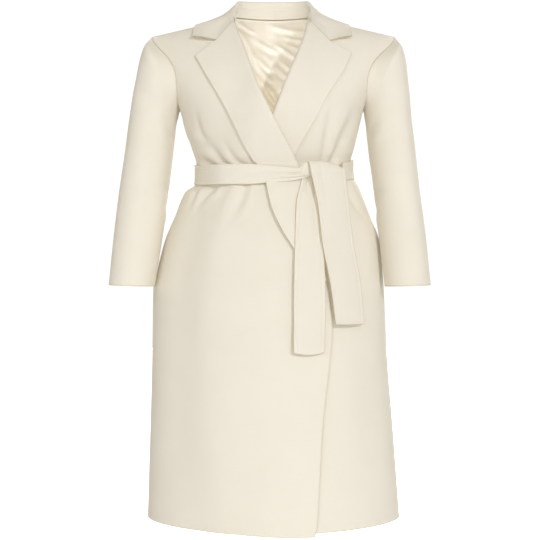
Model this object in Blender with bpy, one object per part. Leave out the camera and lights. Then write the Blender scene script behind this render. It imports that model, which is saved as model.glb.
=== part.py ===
"""A wrap coat in cream wool, worn shape, hollow. Metres, +Z up.

The front faces -Y and the wearer's left is +X. The origin is the centre of the neck base, level
with the two points where the shoulder seams meet the collar. Every panel is a wall of cloth made
from one surface, the body, and what lies on a panel is made from that surface moved out.
"""

from collections import namedtuple

import bmesh
import bpy
import numpy as np

# Cloth and clearances
CLOTH = 0.0020
SATIN = 0.0010
BELT_CLOTH = 0.0030
GAP = 0.0003

# Heights and widths that drive the rest
HEM_Z = -1.047
ARMPIT_Z = -0.196
NECK_HALF = 0.083
SHOULDER_SLOPE = 0.24
SHOULDER_Y = 0.003
BREAK_Z = -0.590

# How the top of the body rounds over to the shoulder seams, and rises into the neck
ROUND_DEPTH = {"front": 0.22, "back": 0.20}
NECK_RISE = {"front": 0.02, "back": 0.05}
ROUND_POWER = 1.6
BACK_NECK_RISE = 0.007

# Armholes: how far each turns in from the side line, as a share of a quarter of the body
ARMHOLE_GAP = 0.0018
ARMHOLE_CUT = {"front": 0.33, "back": 0.27}

# The over-front's clearance over the under-front: with its lapel, and below the break without
LIFT = 0.0144
SKIRT_LIFT = 0.0065
LIFT_RUN = 0.080
LIFT_STARTS = 0.012
LIFT_EASES = (0.11, 0.08)
CORNER_DROP = 0.006
CORNER_STARTS_X = -0.10
CORNER_RUN = 0.18
CORNER_TOP_Z = -0.70
CORNER_HEIGHT = 0.30

# Lapels and collar
LAPEL_OUT = 0.0060
FACING_WIDTH = 0.018
FACING_TAPER = 0.35
GORGE_Z = -0.0225
GORGE_GAP = 0.0015
NOTCH_SHARE = 0.46
NOTCH_FADE = 0.12
LAPEL_END_WIDTH = 0.004
LAPEL_BENDS = (35, 70, 110, 145, 180)
GORGE_STARTS = 0.8
NECK_TURNS = 0.72
SEAM_RISE = 0.0015
STAND_CENTRE_Y = 0.01

# Belt: how far its outer face stands out from the body, and where the body draws in under it
BELT_OUT = 0.0060
OVERLAP_OUT = 0.0260
BELT_RISES = ((-0.155, -0.085), (0.155, 0.095))
CINCH_Z = -0.332
CINCH_REACH = 0.060

Section = namedtuple("Section", "z right left side front back power")
BODY = (
    Section(-1.060, 0.264, 0.265, 0.000, -0.195, 0.190, 1.75),
    Section(-0.870, 0.257, 0.251, 0.000, -0.190, 0.185, 1.80),
    Section(-0.690, 0.253, 0.237, 0.001, -0.182, 0.180, 1.85),
    Section(-0.575, 0.252, 0.232, 0.002, -0.172, 0.173, 1.92),
    Section(-0.530, 0.243, 0.229, 0.003, -0.166, 0.167, 1.95),
    Section(-0.468, 0.227, 0.222, 0.004, -0.153, 0.155, 2.00),
    Section(-0.418, 0.206, 0.201, 0.005, -0.138, 0.138, 2.05),
    Section(-0.367, 0.184, 0.178, 0.006, -0.121, 0.114, 2.10),
    Section(-0.352, 0.163, 0.169, 0.006, -0.114, 0.100, 2.15),
    Section(-0.332, 0.159, 0.162, 0.006, -0.112, 0.098, 2.15),
    Section(-0.308, 0.161, 0.163, 0.006, -0.113, 0.098, 2.15),
    Section(-0.292, 0.166, 0.167, 0.006, -0.119, 0.101, 2.20),
    Section(-0.241, 0.183, 0.178, 0.005, -0.139, 0.110, 2.30),
    Section(-0.196, 0.196, 0.189, 0.003, -0.147, 0.117, 2.40),
    Section(-0.130, 0.222, 0.215, 0.003, -0.144, 0.121, 2.60),
    Section(-0.041, 0.255, 0.255, 0.003, -0.135, 0.120, 2.60),
    Section(0.060, 0.255, 0.255, 0.003, -0.130, 0.118, 2.60),
)

# Each front's inner edge: the lapel's roll line down to the break, then the free edge
Edge = namedtuple("Edge", "z x")
OVER_EDGE = (
    Edge(-1.055, 0.075),
    Edge(-1.034, 0.083),
    Edge(-0.985, 0.087),
    Edge(-0.893, 0.092),
    Edge(-0.818, 0.097),
    Edge(-0.726, 0.108),
    Edge(-0.669, 0.112),
    Edge(-0.590, 0.104),
    Edge(-0.432, 0.076),
    Edge(-0.320, 0.047),
    Edge(-0.224, -0.002),
    Edge(-0.165, -0.031),
    Edge(-0.078, -0.061),
    Edge(-0.022, -0.0795),
    Edge(0.000, -0.083),
)
UNDER_EDGE = (
    Edge(-1.047, -0.075),
    Edge(-0.700, -0.108),
    Edge(-0.590, -0.104),
    Edge(-0.432, -0.076),
    Edge(-0.320, -0.046),
    Edge(-0.223, -0.002),
    Edge(-0.143, 0.029),
    Edge(-0.101, 0.046),
    Edge(-0.059, 0.061),
    Edge(-0.022, 0.0715),
    Edge(0.000, 0.083),
)

# Each lapel's outer edge, from its tip down to the break, with its notch
OVER_NOTCH = Edge(-0.0635, -0.1160)
UNDER_NOTCH = Edge(-0.0655, 0.1135)
OVER_LAPEL = (
    Edge(-0.590, 0.101),
    Edge(-0.498, 0.040),
    Edge(-0.416, -0.003),
    Edge(-0.363, -0.016),
    Edge(-0.319, -0.033),
    Edge(-0.287, -0.052),
    Edge(-0.244, -0.077),
    Edge(-0.184, -0.110),
    Edge(-0.140, -0.136),
    Edge(-0.097, -0.158),
)
UNDER_LAPEL = (
    Edge(-0.590, -0.101),
    Edge(-0.498, -0.040),
    Edge(-0.416, 0.000),
    Edge(-0.350, 0.022),
    Edge(-0.294, 0.045),
    Edge(-0.275, 0.055),
    Edge(-0.230, 0.081),
    Edge(-0.179, 0.109),
    Edge(-0.129, 0.141),
    Edge(-0.090, 0.158),
)

# Half of the collar, from the centre back to the gorge: its fold line, the middle of the leaf and
# the leaf's outer edge. x is a distance to either side of shift.
Collar = namedtuple(
    "Collar", "share shift fold_x fold_y fold_z mid_x mid_y mid_z edge_x edge_y edge_z"
)
COLLAR = (
    Collar(0.00, 0.000, 0.000, 0.078, 0.0480, 0.000, 0.093, 0.0170, 0.000, 0.101, -0.024),
    Collar(0.22, 0.000, 0.045, 0.071, 0.0475, 0.056, 0.086, 0.0170, 0.066, 0.092, -0.030),
    Collar(0.42, 0.000, 0.074, 0.048, 0.0440, 0.096, 0.060, 0.0140, 0.118, 0.062, -0.030),
    Collar(0.62, 0.000, 0.082, 0.018, 0.0240, 0.113, 0.020, 0.0060, 0.150, 0.025, -0.012),
    Collar(0.80, -0.002, 0.081, -0.010, 0.0040, 0.116, -0.022, -0.0080, 0.160, -0.013, -0.0180),
    Collar(0.90, -0.003, 0.079, -0.034, -0.0070, 0.116, -0.049, -0.0310, 0.164, -0.031, -0.0320),
    Collar(1.00, -0.003, 0.0755, -0.057, -0.0190, 0.115, -0.079, -0.0590, 0.165, -0.058, -0.0490),
)

# Sleeve sections after the armhole: outer and inner points, place in depth, half depth
Arm = namedtuple("Arm", "outer_x outer_z inner_x inner_z y depth")
SLEEVE_RIGHT = (
    Arm(0.268, -0.058, 0.1995, -0.208, 0.001, 0.066),
    Arm(0.279, -0.088, 0.2030, -0.222, -0.001, 0.065),
    Arm(0.288, -0.135, 0.2055, -0.248, -0.004, 0.063),
    Arm(0.301, -0.216, 0.2100, -0.290, -0.009, 0.061),
    Arm(0.310, -0.290, 0.2145, -0.332, -0.015, 0.059),
    Arm(0.320, -0.367, 0.2200, -0.385, -0.025, 0.058),
    Arm(0.329, -0.455, 0.2290, -0.462, -0.040, 0.057),
    Arm(0.338, -0.562, 0.2440, -0.565, -0.055, 0.056),
)
SLEEVE_LEFT = (
    Arm(0.267, -0.058, 0.1915, -0.208, 0.001, 0.066),
    Arm(0.277, -0.088, 0.1935, -0.222, -0.001, 0.065),
    Arm(0.282, -0.135, 0.1960, -0.248, -0.004, 0.063),
    Arm(0.289, -0.216, 0.2000, -0.290, -0.009, 0.061),
    Arm(0.297, -0.290, 0.2055, -0.332, -0.015, 0.059),
    Arm(0.304, -0.367, 0.2110, -0.385, -0.025, 0.058),
    Arm(0.314, -0.455, 0.2180, -0.462, -0.040, 0.057),
    Arm(0.323, -0.562, 0.2290, -0.565, -0.055, 0.056),
)
SLEEVE_POWER = 2.1

# Height of the belt's middle round the front and the back, by turn
Waist = namedtuple("Waist", "turn front back")
WAIST = (
    Waist(-1.0, -0.331, -0.331),
    Waist(-0.5, -0.338, -0.328),
    Waist(0.0, -0.340, -0.325),
    Waist(0.2, -0.339, -0.324),
    Waist(0.7, -0.327, -0.321),
    Waist(1.0, -0.319, -0.319),
)

# The belt's height, by share of the way from the knot round the body to the knot again
Belt = namedtuple("Belt", "share height")
BELT = (
    Belt(0.00, 0.025),
    Belt(0.05, 0.036),
    Belt(0.12, 0.038),
    Belt(0.85, 0.039),
    Belt(1.00, 0.037),
)
BELT_STARTS_X = 0.048
BELT_ENDS_X = 0.132

# Belt tails: edges by height, and how far each edge stands out from the body
Tail = namedtuple("Tail", "z left right left_out right_out")
TAIL_LEFT = (
    Tail(-0.694, 0.0385, 0.0995, 0.0190, 0.0160),
    Tail(-0.600, 0.0385, 0.0990, 0.0245, 0.0235),
    Tail(-0.562, 0.0390, 0.0985, 0.0248, 0.0238),
    Tail(-0.478, 0.0420, 0.0960, 0.0248, 0.0240),
    Tail(-0.410, 0.0440, 0.0900, 0.0248, 0.0240),
    Tail(-0.366, 0.0465, 0.0745, 0.0258, 0.0250),
)
TAIL_RIGHT = (
    Tail(-0.640, 0.1215, 0.1840, 0.0240, 0.0120),
    Tail(-0.565, 0.1115, 0.1770, 0.0270, 0.0130),
    Tail(-0.478, 0.0960, 0.1620, 0.0290, 0.0150),
    Tail(-0.416, 0.0900, 0.1545, 0.0310, 0.0170),
    Tail(-0.355, 0.0800, 0.1475, 0.0370, 0.0235),
    Tail(-0.330, 0.0740, 0.1430, 0.0390, 0.0255),
)
FOLD_TOP_Z = -0.313
FOLD_DEPTH = 0.55
FOLD_BENDS = (25, 50, 75, 95)

# The knot under the right tail: sections along X
Knot = namedtuple("Knot", "x z height thickness out")
KNOT = (
    Knot(0.0510, -0.3385, 0.024, 0.0050, 0.0250),
    Knot(0.0600, -0.3370, 0.028, 0.0075, 0.0262),
    Knot(0.0800, -0.3360, 0.030, 0.0100, 0.0270),
    Knot(0.1050, -0.3350, 0.030, 0.0080, 0.0225),
    Knot(0.1250, -0.3330, 0.026, 0.0050, 0.0190),
)
KNOT_SIDES = 16

# The back lining: its lower end, how far inside the back it lies, and how it stops at the edges
LINING_END_Z = -0.325
LINING_IN = 0.0032
LINING_SIDE_COLUMNS = 3
LINING_TOP_SHARE = 0.12

COLOURS = {
    "wool": ((0.80, 0.77, 0.68, 1.0), 0.85),
    "satin": ((0.82, 0.77, 0.67, 1.0), 0.35),
}

# How finely the walls are cut: rows by height, closer together where the waist draws in
SKIRT_HEIGHTS = (
    *np.linspace(HEM_Z, -0.69, 4),
    *np.linspace(-0.62, -0.395, 5),
    *(-0.377, -0.363, -0.352, -0.335, -0.318, -0.303),
    *np.linspace(-0.283, ARMPIT_Z, 4),
)
YOKE_ROWS = 8
FRONT_SHARES = 1 - (1 - np.linspace(0, 1, 8)) ** 1.3
NECK_COLUMNS = 4
LAPEL_SHARES = np.array((*np.linspace(0, 0.45, 11), *np.linspace(0.48, 0.63, 6), *np.linspace(0.68, 1, 8)))
LAPEL_COLUMNS = 5
COLLAR_COLUMNS = 22
BELT_COLUMNS = 40


# ---------------------------------------------------------------- curves through short tables


def through(keys, values, at):
    """Values along a smooth curve through the rows, which never overshoots them."""
    keys = np.asarray(keys, float)
    values = np.asarray(values, float)
    at = np.clip(np.asarray(at, float), keys[0], keys[-1])
    steps = np.diff(keys).reshape(-1, *[1] * (values.ndim - 1))
    rises = np.diff(values, axis=0) / steps
    same = rises[1:] * rises[:-1] > 0
    total = np.where(same, rises[1:] + rises[:-1], 1.0)
    inner = np.where(same, 2 * rises[1:] * rises[:-1] / total, 0.0)
    slopes = np.concatenate([rises[:1], inner, rises[-1:]])
    row = np.clip(np.searchsorted(keys, at, side="right") - 1, 0, len(keys) - 2)
    shape = at.shape + (1,) * (values.ndim - 1)
    step = np.diff(keys)[row].reshape(shape)
    t = ((at - keys[row]) / np.diff(keys)[row]).reshape(shape)
    return (
        values[row] * (1 + 2 * t) * (1 - t) ** 2
        + slopes[row] * step * t * (1 - t) ** 2
        + values[row + 1] * t * t * (3 - 2 * t)
        + slopes[row + 1] * step * t * t * (t - 1)
    )


def column(table, name, at):
    """One named column of a table, at a value of its first column."""
    return through([row[0] for row in table], [getattr(row, name) for row in table], at)


def ramp(t):
    """0 to 1 with level ends."""
    t = np.clip(t, 0.0, 1.0)
    return t * t * (3 - 2 * t)


# ---------------------------------------------------------------- the body's surface


def shoulder_line(half, x):
    """Height of the shoulder seam, carried on into the neck."""
    line = -SHOULDER_SLOPE * (np.abs(x) - NECK_HALF)
    inside = np.clip(1 - (x / NECK_HALF) ** 2, 0, 1)
    return line + NECK_RISE[half] * inside**1.5


def cut_height(half, turn, z):
    """Height at which the body table is read: near the waist it follows the belt's tilt."""
    tilt = column(WAIST, half, turn) - CINCH_Z
    return z - tilt * np.exp(-(((z - CINCH_Z) / CINCH_REACH) ** 2))


def half_width(x, z):
    return np.where(x < 0, column(BODY, "right", z), column(BODY, "left", z))


def body(half, turn, z):
    """Point of the body's outer surface. turn runs from -1 at the right side line to 1 at the left."""
    turn, z = np.broadcast_arrays(np.asarray(turn, float), np.asarray(z, float))
    cut = cut_height(half, turn, z)
    power = 2 / column(BODY, "power", cut)
    angle = np.radians(90) * np.abs(turn)
    x = np.sign(turn) * half_width(turn, cut) * np.sin(angle) ** power
    side = column(BODY, "side", cut)
    y = side + (column(BODY, half, cut) - side) * np.clip(np.cos(angle), 0, 1) ** power
    drop = np.clip((shoulder_line(half, x) - z) / ROUND_DEPTH[half], 0, 1)
    fullness = (1 - (1 - drop) ** ROUND_POWER) ** (1 / ROUND_POWER)
    return np.stack([x, SHOULDER_Y + (y - SHOULDER_Y) * fullness, z], axis=-1)


def turn_at(half, x, z):
    """The turn at which the body's surface is at x."""
    turn = np.asarray(x, float) / 0.2
    for _ in range(4):
        cut = cut_height(half, np.clip(turn, -1, 1), z)
        share = np.clip(np.abs(x) / half_width(x, cut), 0, 1)
        turn = np.sign(x) * np.arcsin(share ** (column(BODY, "power", cut) / 2)) / np.radians(90)
    return turn


def body_normal(half, turn, z):
    turn, z = np.broadcast_arrays(np.asarray(turn, float), np.asarray(z, float))
    across = body(half, np.clip(turn + 0.02, -1, 1), z) - body(half, np.clip(turn - 0.02, -1, 1), z)
    along = body(half, turn, z + 0.004) - body(half, turn, z - 0.004)
    out = np.cross(across, along) * (1 if half == "front" else -1)
    return out / np.linalg.norm(out, axis=-1, keepdims=True)


def lay(half, x, z, out):
    """Points that lie on the body at x and z, moved out."""
    x, z = np.broadcast_arrays(np.asarray(x, float), np.asarray(z, float))
    turn = turn_at(half, x, z)
    return body(half, turn, z) + body_normal(half, turn, z) * np.asarray(out)[..., None]


def over_lift(x, z):
    """How far the over-front stands out from the body, to clear the under-front below it."""
    below, run = LIFT_EASES
    full = SKIRT_LIFT + (LIFT - SKIRT_LIFT) * ramp((z - BREAK_Z + below) / run)
    return full * ramp((x - column(UNDER_EDGE, "x", z) + LIFT_RUN + LIFT_STARTS) / LIFT_RUN)


# ---------------------------------------------------------------- levels: hem to shoulder


def level_height(x, level):
    """Height of a level line: flat up to the armpit (0), then rising to the shoulder seam (1)."""
    neck = BACK_NECK_RISE * np.clip(1 - (x / NECK_HALF) ** 2, 0, 1)
    top = -SHOULDER_SLOPE * np.clip(np.abs(x) - NECK_HALF, 0, None) + neck
    return np.where(level <= 0, ARMPIT_Z + level, ARMPIT_Z + (top - ARMPIT_Z) * level)


def levels():
    skirt = np.array(SKIRT_HEIGHTS) - ARMPIT_Z
    yoke = (1 - np.cos(np.linspace(0, np.pi, YOKE_ROWS))) / 2
    return np.concatenate([skirt, yoke[1:]])


def side_turn(half, level):
    """The side line, and above the armpit the armhole."""
    return 1 - ARMHOLE_CUT[half] * np.sin(np.pi * np.clip(level, 0, 1)) ** 0.75


def edge_x(table, level):
    """Where a front's inner edge crosses a level line."""
    x = column(table, "x", level_height(np.zeros_like(level), level))
    for _ in range(6):
        x = column(table, "x", level_height(x, level))
    return x


def level_points(half, turns, level):
    """The body's points at these turns along a level line."""
    level = np.broadcast_to(level[:, None], turns.shape)
    z = level_height(np.full(turns.shape, 0.15), level)
    for _ in range(6):
        z = level_height(body(half, turns, z)[..., 0], level)
    return turns, z


# ---------------------------------------------------------------- walls of cloth


def grid_normals(grid, around=False):
    """Normals of a grid of points, to the side that its rows and columns turn towards."""
    if around:
        across = np.roll(grid, -1, axis=1) - np.roll(grid, 1, axis=1)
    else:
        across = np.gradient(grid, axis=1)
    out = np.cross(across, np.gradient(grid, axis=0))
    return out / np.maximum(np.linalg.norm(out, axis=-1, keepdims=True), 1e-9)


def share_normals(grids, normals, groups):
    """Gives points that grids share one normal, so that their walls meet in a mitre.

    Each group counts once at a point: at the armpit the front and back together weigh as much as
    the sleeve, and the mitre points straight down.
    """
    points = np.concatenate([g.reshape(-1, 3) for g in grids])
    found = np.concatenate([n.reshape(-1, 3) for n in normals])
    group = np.repeat(np.array(groups, int), [g.shape[0] * g.shape[1] for g in grids])
    _, index = np.unique(np.round(points, 5), axis=0, return_inverse=True)
    index = index.reshape(-1)
    counts = np.zeros((index.max() + 1, group.max() + 1))
    np.add.at(counts, (index, group), 1)
    total = np.zeros((index.max() + 1, 3))
    np.add.at(total, index, found / counts[index, group][:, None])
    shared = total[index] / np.linalg.norm(total[index], axis=1, keepdims=True)
    ends = np.cumsum([g.shape[0] * g.shape[1] for g in grids])[:-1]
    return [s.reshape(g.shape) for s, g in zip(np.split(shared, ends), grids)]


def pull_in(grid, gap, around=False):
    """Draws a grid's edges in, so that it clears the piece sewn to it."""
    grid = grid.copy()
    for edge, inner in ((0, 1), (-1, -2)):
        step = grid[inner] - grid[edge]
        grid[edge] += step * (gap / np.linalg.norm(step, axis=-1, keepdims=True))
    if not around:
        for edge, inner in ((0, 1), (-1, -2)):
            step = grid[:, inner] - grid[:, edge]
            grid[:, edge] += step * (gap / np.linalg.norm(step, axis=-1, keepdims=True))
    return grid


def thicken(outer, normals, thickness, own=None):
    """The wall's inner points. Where a shared normal leans, the step grows so the wall keeps its size."""
    own = normals if own is None else own
    lean = np.clip((normals * own).sum(axis=-1, keepdims=True), 0.6, 1.0)
    return outer - normals * thickness / lean


def wall(name, outer, inner, finish, around=False):
    """A closed object between two matching grids of points."""
    rows, columns = outer.shape[:2]
    mesh = bmesh.new()
    layers = [[mesh.verts.new(p) for p in grid.reshape(-1, 3)] for grid in (outer, inner)]

    def quad(a, b, c, d):
        mesh.faces.new((a, b, c, d))

    spans = columns if around else columns - 1
    for i in range(rows - 1):
        for j in range(spans):
            near = (j + 1) % columns
            corners = [(i, j), (i, near), (i + 1, near), (i + 1, j)]
            quad(*(layers[0][r * columns + c] for r, c in corners))
            quad(*(layers[1][corners[k][0] * columns + corners[k][1]] for k in (2, 1, 0, 3)))
    rims = [[(i, (j + 1) % columns), (i, j)] for i in (0,) for j in range(spans)]
    rims += [[(rows - 1, j), (rows - 1, (j + 1) % columns)] for j in range(spans)]
    if not around:
        rims += [[(i, 0), (i + 1, 0)] for i in range(rows - 1)]
        rims += [[(i + 1, columns - 1), (i, columns - 1)] for i in range(rows - 1)]
    for a, b in rims:
        first, second = (r * columns + c for r, c in (a, b))
        quad(layers[0][first], layers[0][second], layers[1][second], layers[1][first])
    return finish_object(name, mesh, finish)


def tube(name, rings, finish):
    """A closed solid through rings of points, capped at both ends."""
    mesh = bmesh.new()
    loops = [[mesh.verts.new(p) for p in ring] for ring in rings]
    count = len(loops[0])
    for low, high in zip(loops, loops[1:]):
        for j in range(count):
            k = (j + 1) % count
            mesh.faces.new((low[j], low[k], high[k], high[j]))
    mesh.faces.new(loops[0][::-1])
    mesh.faces.new(loops[-1])
    return finish_object(name, mesh, finish)


def finish_object(name, mesh, finish):
    bmesh.ops.triangulate(mesh, faces=mesh.faces[:], quad_method="FIXED", ngon_method="BEAUTY")
    bmesh.ops.recalc_face_normals(mesh, faces=mesh.faces[:])
    if mesh.calc_volume(signed=True) < 0:
        bmesh.ops.reverse_faces(mesh, faces=mesh.faces[:])
    data = bpy.data.meshes.new(name)
    mesh.to_mesh(data)
    mesh.free()
    data.shade_smooth()
    data.set_sharp_from_angle(angle=np.radians(50))
    data.materials.append(material(name, finish))
    piece = bpy.data.objects.new(name, data)
    bpy.data.collections["wrap_coat"].objects.link(piece)
    return piece


def material(name, finish):
    colour, roughness = COLOURS[finish]
    made = bpy.data.materials.new(f"{name}_{finish}")
    made.use_nodes = True
    shader = made.node_tree.nodes["Principled BSDF"]
    shader.inputs["Base Color"].default_value = colour
    shader.inputs["Roughness"].default_value = roughness
    shader.inputs["Metallic"].default_value = 0.0
    made.diffuse_color = colour
    return made


# ---------------------------------------------------------------- panels and sleeves


def front_grid(side, table):
    """A front, from its side seam and armhole to its inner edge."""
    level = levels()
    x = edge_x(table, level)
    inner = turn_at("front", x, level_height(x, level))
    turns = np.stack([side * side_turn("front", level), inner])
    shares = FRONT_SHARES[None, :]
    turns = turns[0][:, None] * (1 - shares) + turns[1][:, None] * shares
    turns, z = level_points("front", turns, level)
    points = body("front", turns, z)
    if side < 0:
        points = points + body_normal("front", turns, z) * over_lift(points[..., 0], z)[..., None]
        across = ramp((points[..., 0] - CORNER_STARTS_X) / CORNER_RUN)
        points[..., 2] -= CORNER_DROP * across * ramp((CORNER_TOP_Z - z) / CORNER_HEIGHT)
    return points


def back_grid():
    """The back, in one piece from side to side, with columns at both neck points."""
    level = levels()
    side = side_turn("back", level)
    z = level_height(np.full(level.shape, NECK_HALF), level)
    neck = [turn_at("back", np.full(level.shape, x), z) for x in (NECK_HALF, -NECK_HALF)]
    outer = FRONT_SHARES[None, :]
    inner = np.linspace(0, 1, NECK_COLUMNS + 1)[None, 1:]
    right = -side[:, None] * (1 - outer) + neck[1][:, None] * outer
    middle = neck[1][:, None] * (1 - inner) + neck[0][:, None] * inner
    left = (side[:, None] * (1 - outer) + neck[0][:, None] * outer)[:, -2::-1]
    turns, z = level_points("back", np.concatenate([right, middle, left], axis=1), level)
    return body("back", turns, z)


def armhole_ring(front, back, side):
    """The armhole's points: from the shoulder down the front to the armpit, and up the back."""
    edge = 0 if side < 0 else -1
    armpit = len(SKIRT_HEIGHTS) - 1
    front_edge = front[armpit:, 0][::-1]
    back_edge = back[armpit:, edge]
    return np.concatenate([front_edge, back_edge[1:-1]])


def sleeve_grid(ring, side, table):
    """A sleeve, from the armhole's ring through its sections to the cuff."""
    angle = np.linspace(0, 2 * np.pi, len(ring), endpoint=False)[:, None]
    power = 2 / SLEEVE_POWER
    rings = [ring]
    for arm in table:
        outer = np.array([side * arm.outer_x, arm.y, arm.outer_z])
        inner = np.array([side * arm.inner_x, arm.y, arm.inner_z])
        reach = np.sign(np.cos(angle)) * np.abs(np.cos(angle)) ** power
        swing = np.sign(np.sin(angle)) * np.abs(np.sin(angle)) ** power
        depth = np.array([0.0, -arm.depth, 0.0])
        rings.append((outer + inner) / 2 + (outer - inner) / 2 * reach + depth * swing)
    keys = np.arange(len(rings))
    return through(keys, rings, np.linspace(0, len(rings) - 1, 2 * len(rings) - 1))


def outward(grid, around=False):
    """Normals of a grid that wraps round the body or an arm, facing away from its middle."""
    normals = grid_normals(grid, around)
    middle = grid.mean(axis=1, keepdims=True) if around else np.array([0.0, 0.0, 0.0])
    away = (grid - middle) * np.array([1, 1, 0])
    return normals if (normals * away).sum() > 0 else -normals


def build_shell():
    """The fronts, the back and the sleeves, which share their seams."""
    front_right = front_grid(-1, OVER_EDGE)
    front_left = front_grid(1, UNDER_EDGE)
    back = back_grid()
    sleeve_right = sleeve_grid(armhole_ring(front_right, back, -1), -1, SLEEVE_RIGHT)
    sleeve_left = sleeve_grid(armhole_ring(front_left, back, 1), 1, SLEEVE_LEFT)
    names = ["front_right", "front_left", "back", "sleeve_right", "sleeve_left"]
    grids = [front_right, front_left, back, sleeve_right, sleeve_left]
    tubes = [name.startswith("sleeve") for name in names]
    own = [outward(grid, is_tube) for grid, is_tube in zip(grids, tubes)]
    for name, grid, normals, mitre, is_tube in zip(
        names, grids, own, share_normals(grids, own, tubes), tubes
    ):
        inner = thicken(grid, mitre, CLOTH, normals)
        gap = ARMHOLE_GAP if is_tube else GAP
        wall(name, pull_in(grid, gap, is_tube), pull_in(inner, gap, is_tube), "wool", is_tube)


def build_lining():
    """Satin inside the back, from the neck seam down to the waist."""
    level = levels()
    back = back_grid()
    low = int(np.searchsorted(level, LINING_END_Z - ARMPIT_Z))
    inside = slice(LINING_SIDE_COLUMNS, -LINING_SIDE_COLUMNS)
    grid = back[low:, inside]
    normals = outward(back)[low:, inside]
    outer = grid - normals * LINING_IN
    outer[-1] += (outer[-2] - outer[-1]) * LINING_TOP_SHARE
    wall("back_lining", outer, outer - normals * SATIN, "satin")


# ---------------------------------------------------------------- lapels and collar


def lapel_outline(edge, lapel, notch):
    """Roll-line and outer points of a lapel's rows, and its flat part's grid, in x and z."""
    t = LAPEL_SHARES[:, None]
    share = np.linspace(0, 1, LAPEL_COLUMNS)[None, :]
    roll_z = GORGE_Z + (BREAK_Z - GORGE_Z) * t
    tip_z = lapel[-1].z
    outer_z = tip_z + (BREAK_Z + LAPEL_END_WIDTH - tip_z) * t
    roll_x = column(edge, "x", roll_z)
    outer_x = column(lapel, "x", outer_z)
    x = roll_x * (1 - share) + outer_x * share
    z = roll_z * (1 - share) + outer_z * share
    tent = np.minimum(share / NOTCH_SHARE, (1 - share) / (1 - NOTCH_SHARE))
    fade = np.clip(1 - t / NOTCH_FADE, 0, 1) ** 2
    straight_x = roll_x[0] * (1 - NOTCH_SHARE) + outer_x[0] * NOTCH_SHARE
    straight_z = roll_z[0] * (1 - NOTCH_SHARE) + outer_z[0] * NOTCH_SHARE
    x = x + (notch.x - straight_x) * tent * fade
    z = z + (notch.z - straight_z) * tent * fade
    return x, z


def build_lapel(name, edge, lapel, notch, lift):
    """A lapel: flat on its front, round the roll line, and a short way back inside as facing."""
    x, z = lapel_outline(edge, lapel, notch)
    centre = -CLOTH / 2
    radius = LAPEL_OUT - centre
    roll_x, roll_z = x[:, :1], z[:, :1]
    raised = lift(x, z)
    flat = lay("front", x, z, raised + LAPEL_OUT)[:, ::-1]
    normal = body_normal("front", turn_at("front", roll_x, roll_z), roll_z)
    along = np.gradient(lay("front", roll_x, roll_z, 0 * roll_x)[:, 0], axis=0)[:, None]
    out_of_edge = np.cross(normal, along)
    out_of_edge /= np.linalg.norm(out_of_edge, axis=-1, keepdims=True)
    out_of_edge *= np.sign((out_of_edge * (flat[:, -1:] - flat[:, :1])).sum())
    middle = lay("front", roll_x, roll_z, lift(roll_x, roll_z) + centre)
    bends = [
        middle + normal * radius * np.cos(a) + out_of_edge * radius * np.sin(a)
        for a in np.radians(LAPEL_BENDS)
    ]
    taper = 1 - (1 - FACING_TAPER) * LAPEL_SHARES[:, None, None]
    facing = bends[-1] - out_of_edge * FACING_WIDTH * taper
    grid = np.concatenate([flat, *bends, facing], axis=1)
    normals = grid_normals(grid)
    if (normals[:, 0] * normal[:, 0]).sum() < 0:
        normals = -normals
    wall(name, pull_in(grid, GAP), pull_in(grid - normals * CLOTH, GAP), "wool")


def collar_stations():
    """Shares along the whole collar, from the right gorge (-1) to the left (1)."""
    share = np.linspace(-1, 1, COLLAR_COLUMNS + 1)
    return share, np.where(share < 0, -1.0, 1.0)


def collar_point(kind, share, side):
    away = np.abs(share)
    x = side * column(COLLAR, kind + "_x", away) + column(COLLAR, "shift", away)
    return np.stack([x, column(COLLAR, kind + "_y", away), column(COLLAR, kind + "_z", away)], axis=-1)


def leaf_grid():
    """The leaf's points. Its ribs curve round the neck and run straight along the gorge seam."""
    share, side = collar_stations()
    rows = [collar_point(kind, share, side) for kind in ("fold", "mid", "edge")]
    curved = through([0.0, 0.5, 1.0], rows, np.linspace(0, 1, 5))
    straight = np.stack([rows[0], (rows[0] + rows[1]) / 2, rows[1], (rows[1] + rows[2]) / 2, rows[2]])
    blend = ramp((np.abs(share) - GORGE_STARTS) / (1 - GORGE_STARTS))[None, :, None]
    return curved * (1 - blend) + straight * blend


def build_collar():
    """The leaf, from the fold down to the shoulders, and the stand inside it."""
    leaf = leaf_grid()
    normals = grid_normals(leaf)
    if normals[1:, :, 2].sum() < 0:
        normals = -normals
    wall("collar_fall", pull_in(leaf, GORGE_GAP), pull_in(leaf - normals * CLOTH, GORGE_GAP), "wool")
    share, side = collar_stations()
    share, side = share[1:-1], side[1:-1]
    fold = collar_point("fold", share, side)
    foot = neck_seam(share)
    inward = (np.array([0.0, STAND_CENTRE_Y, 0.0]) - fold) * np.array([1, 1, 0])
    inward /= np.linalg.norm(inward, axis=1, keepdims=True)
    top = fold + inward * (CLOTH + 2 * GAP) - np.array([0, 0, GAP])
    stand = through([0.0, 1.0], [foot, top], np.linspace(0, 1, 3))
    wall("collar_stand", stand, stand + inward * CLOTH, "wool")


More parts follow.
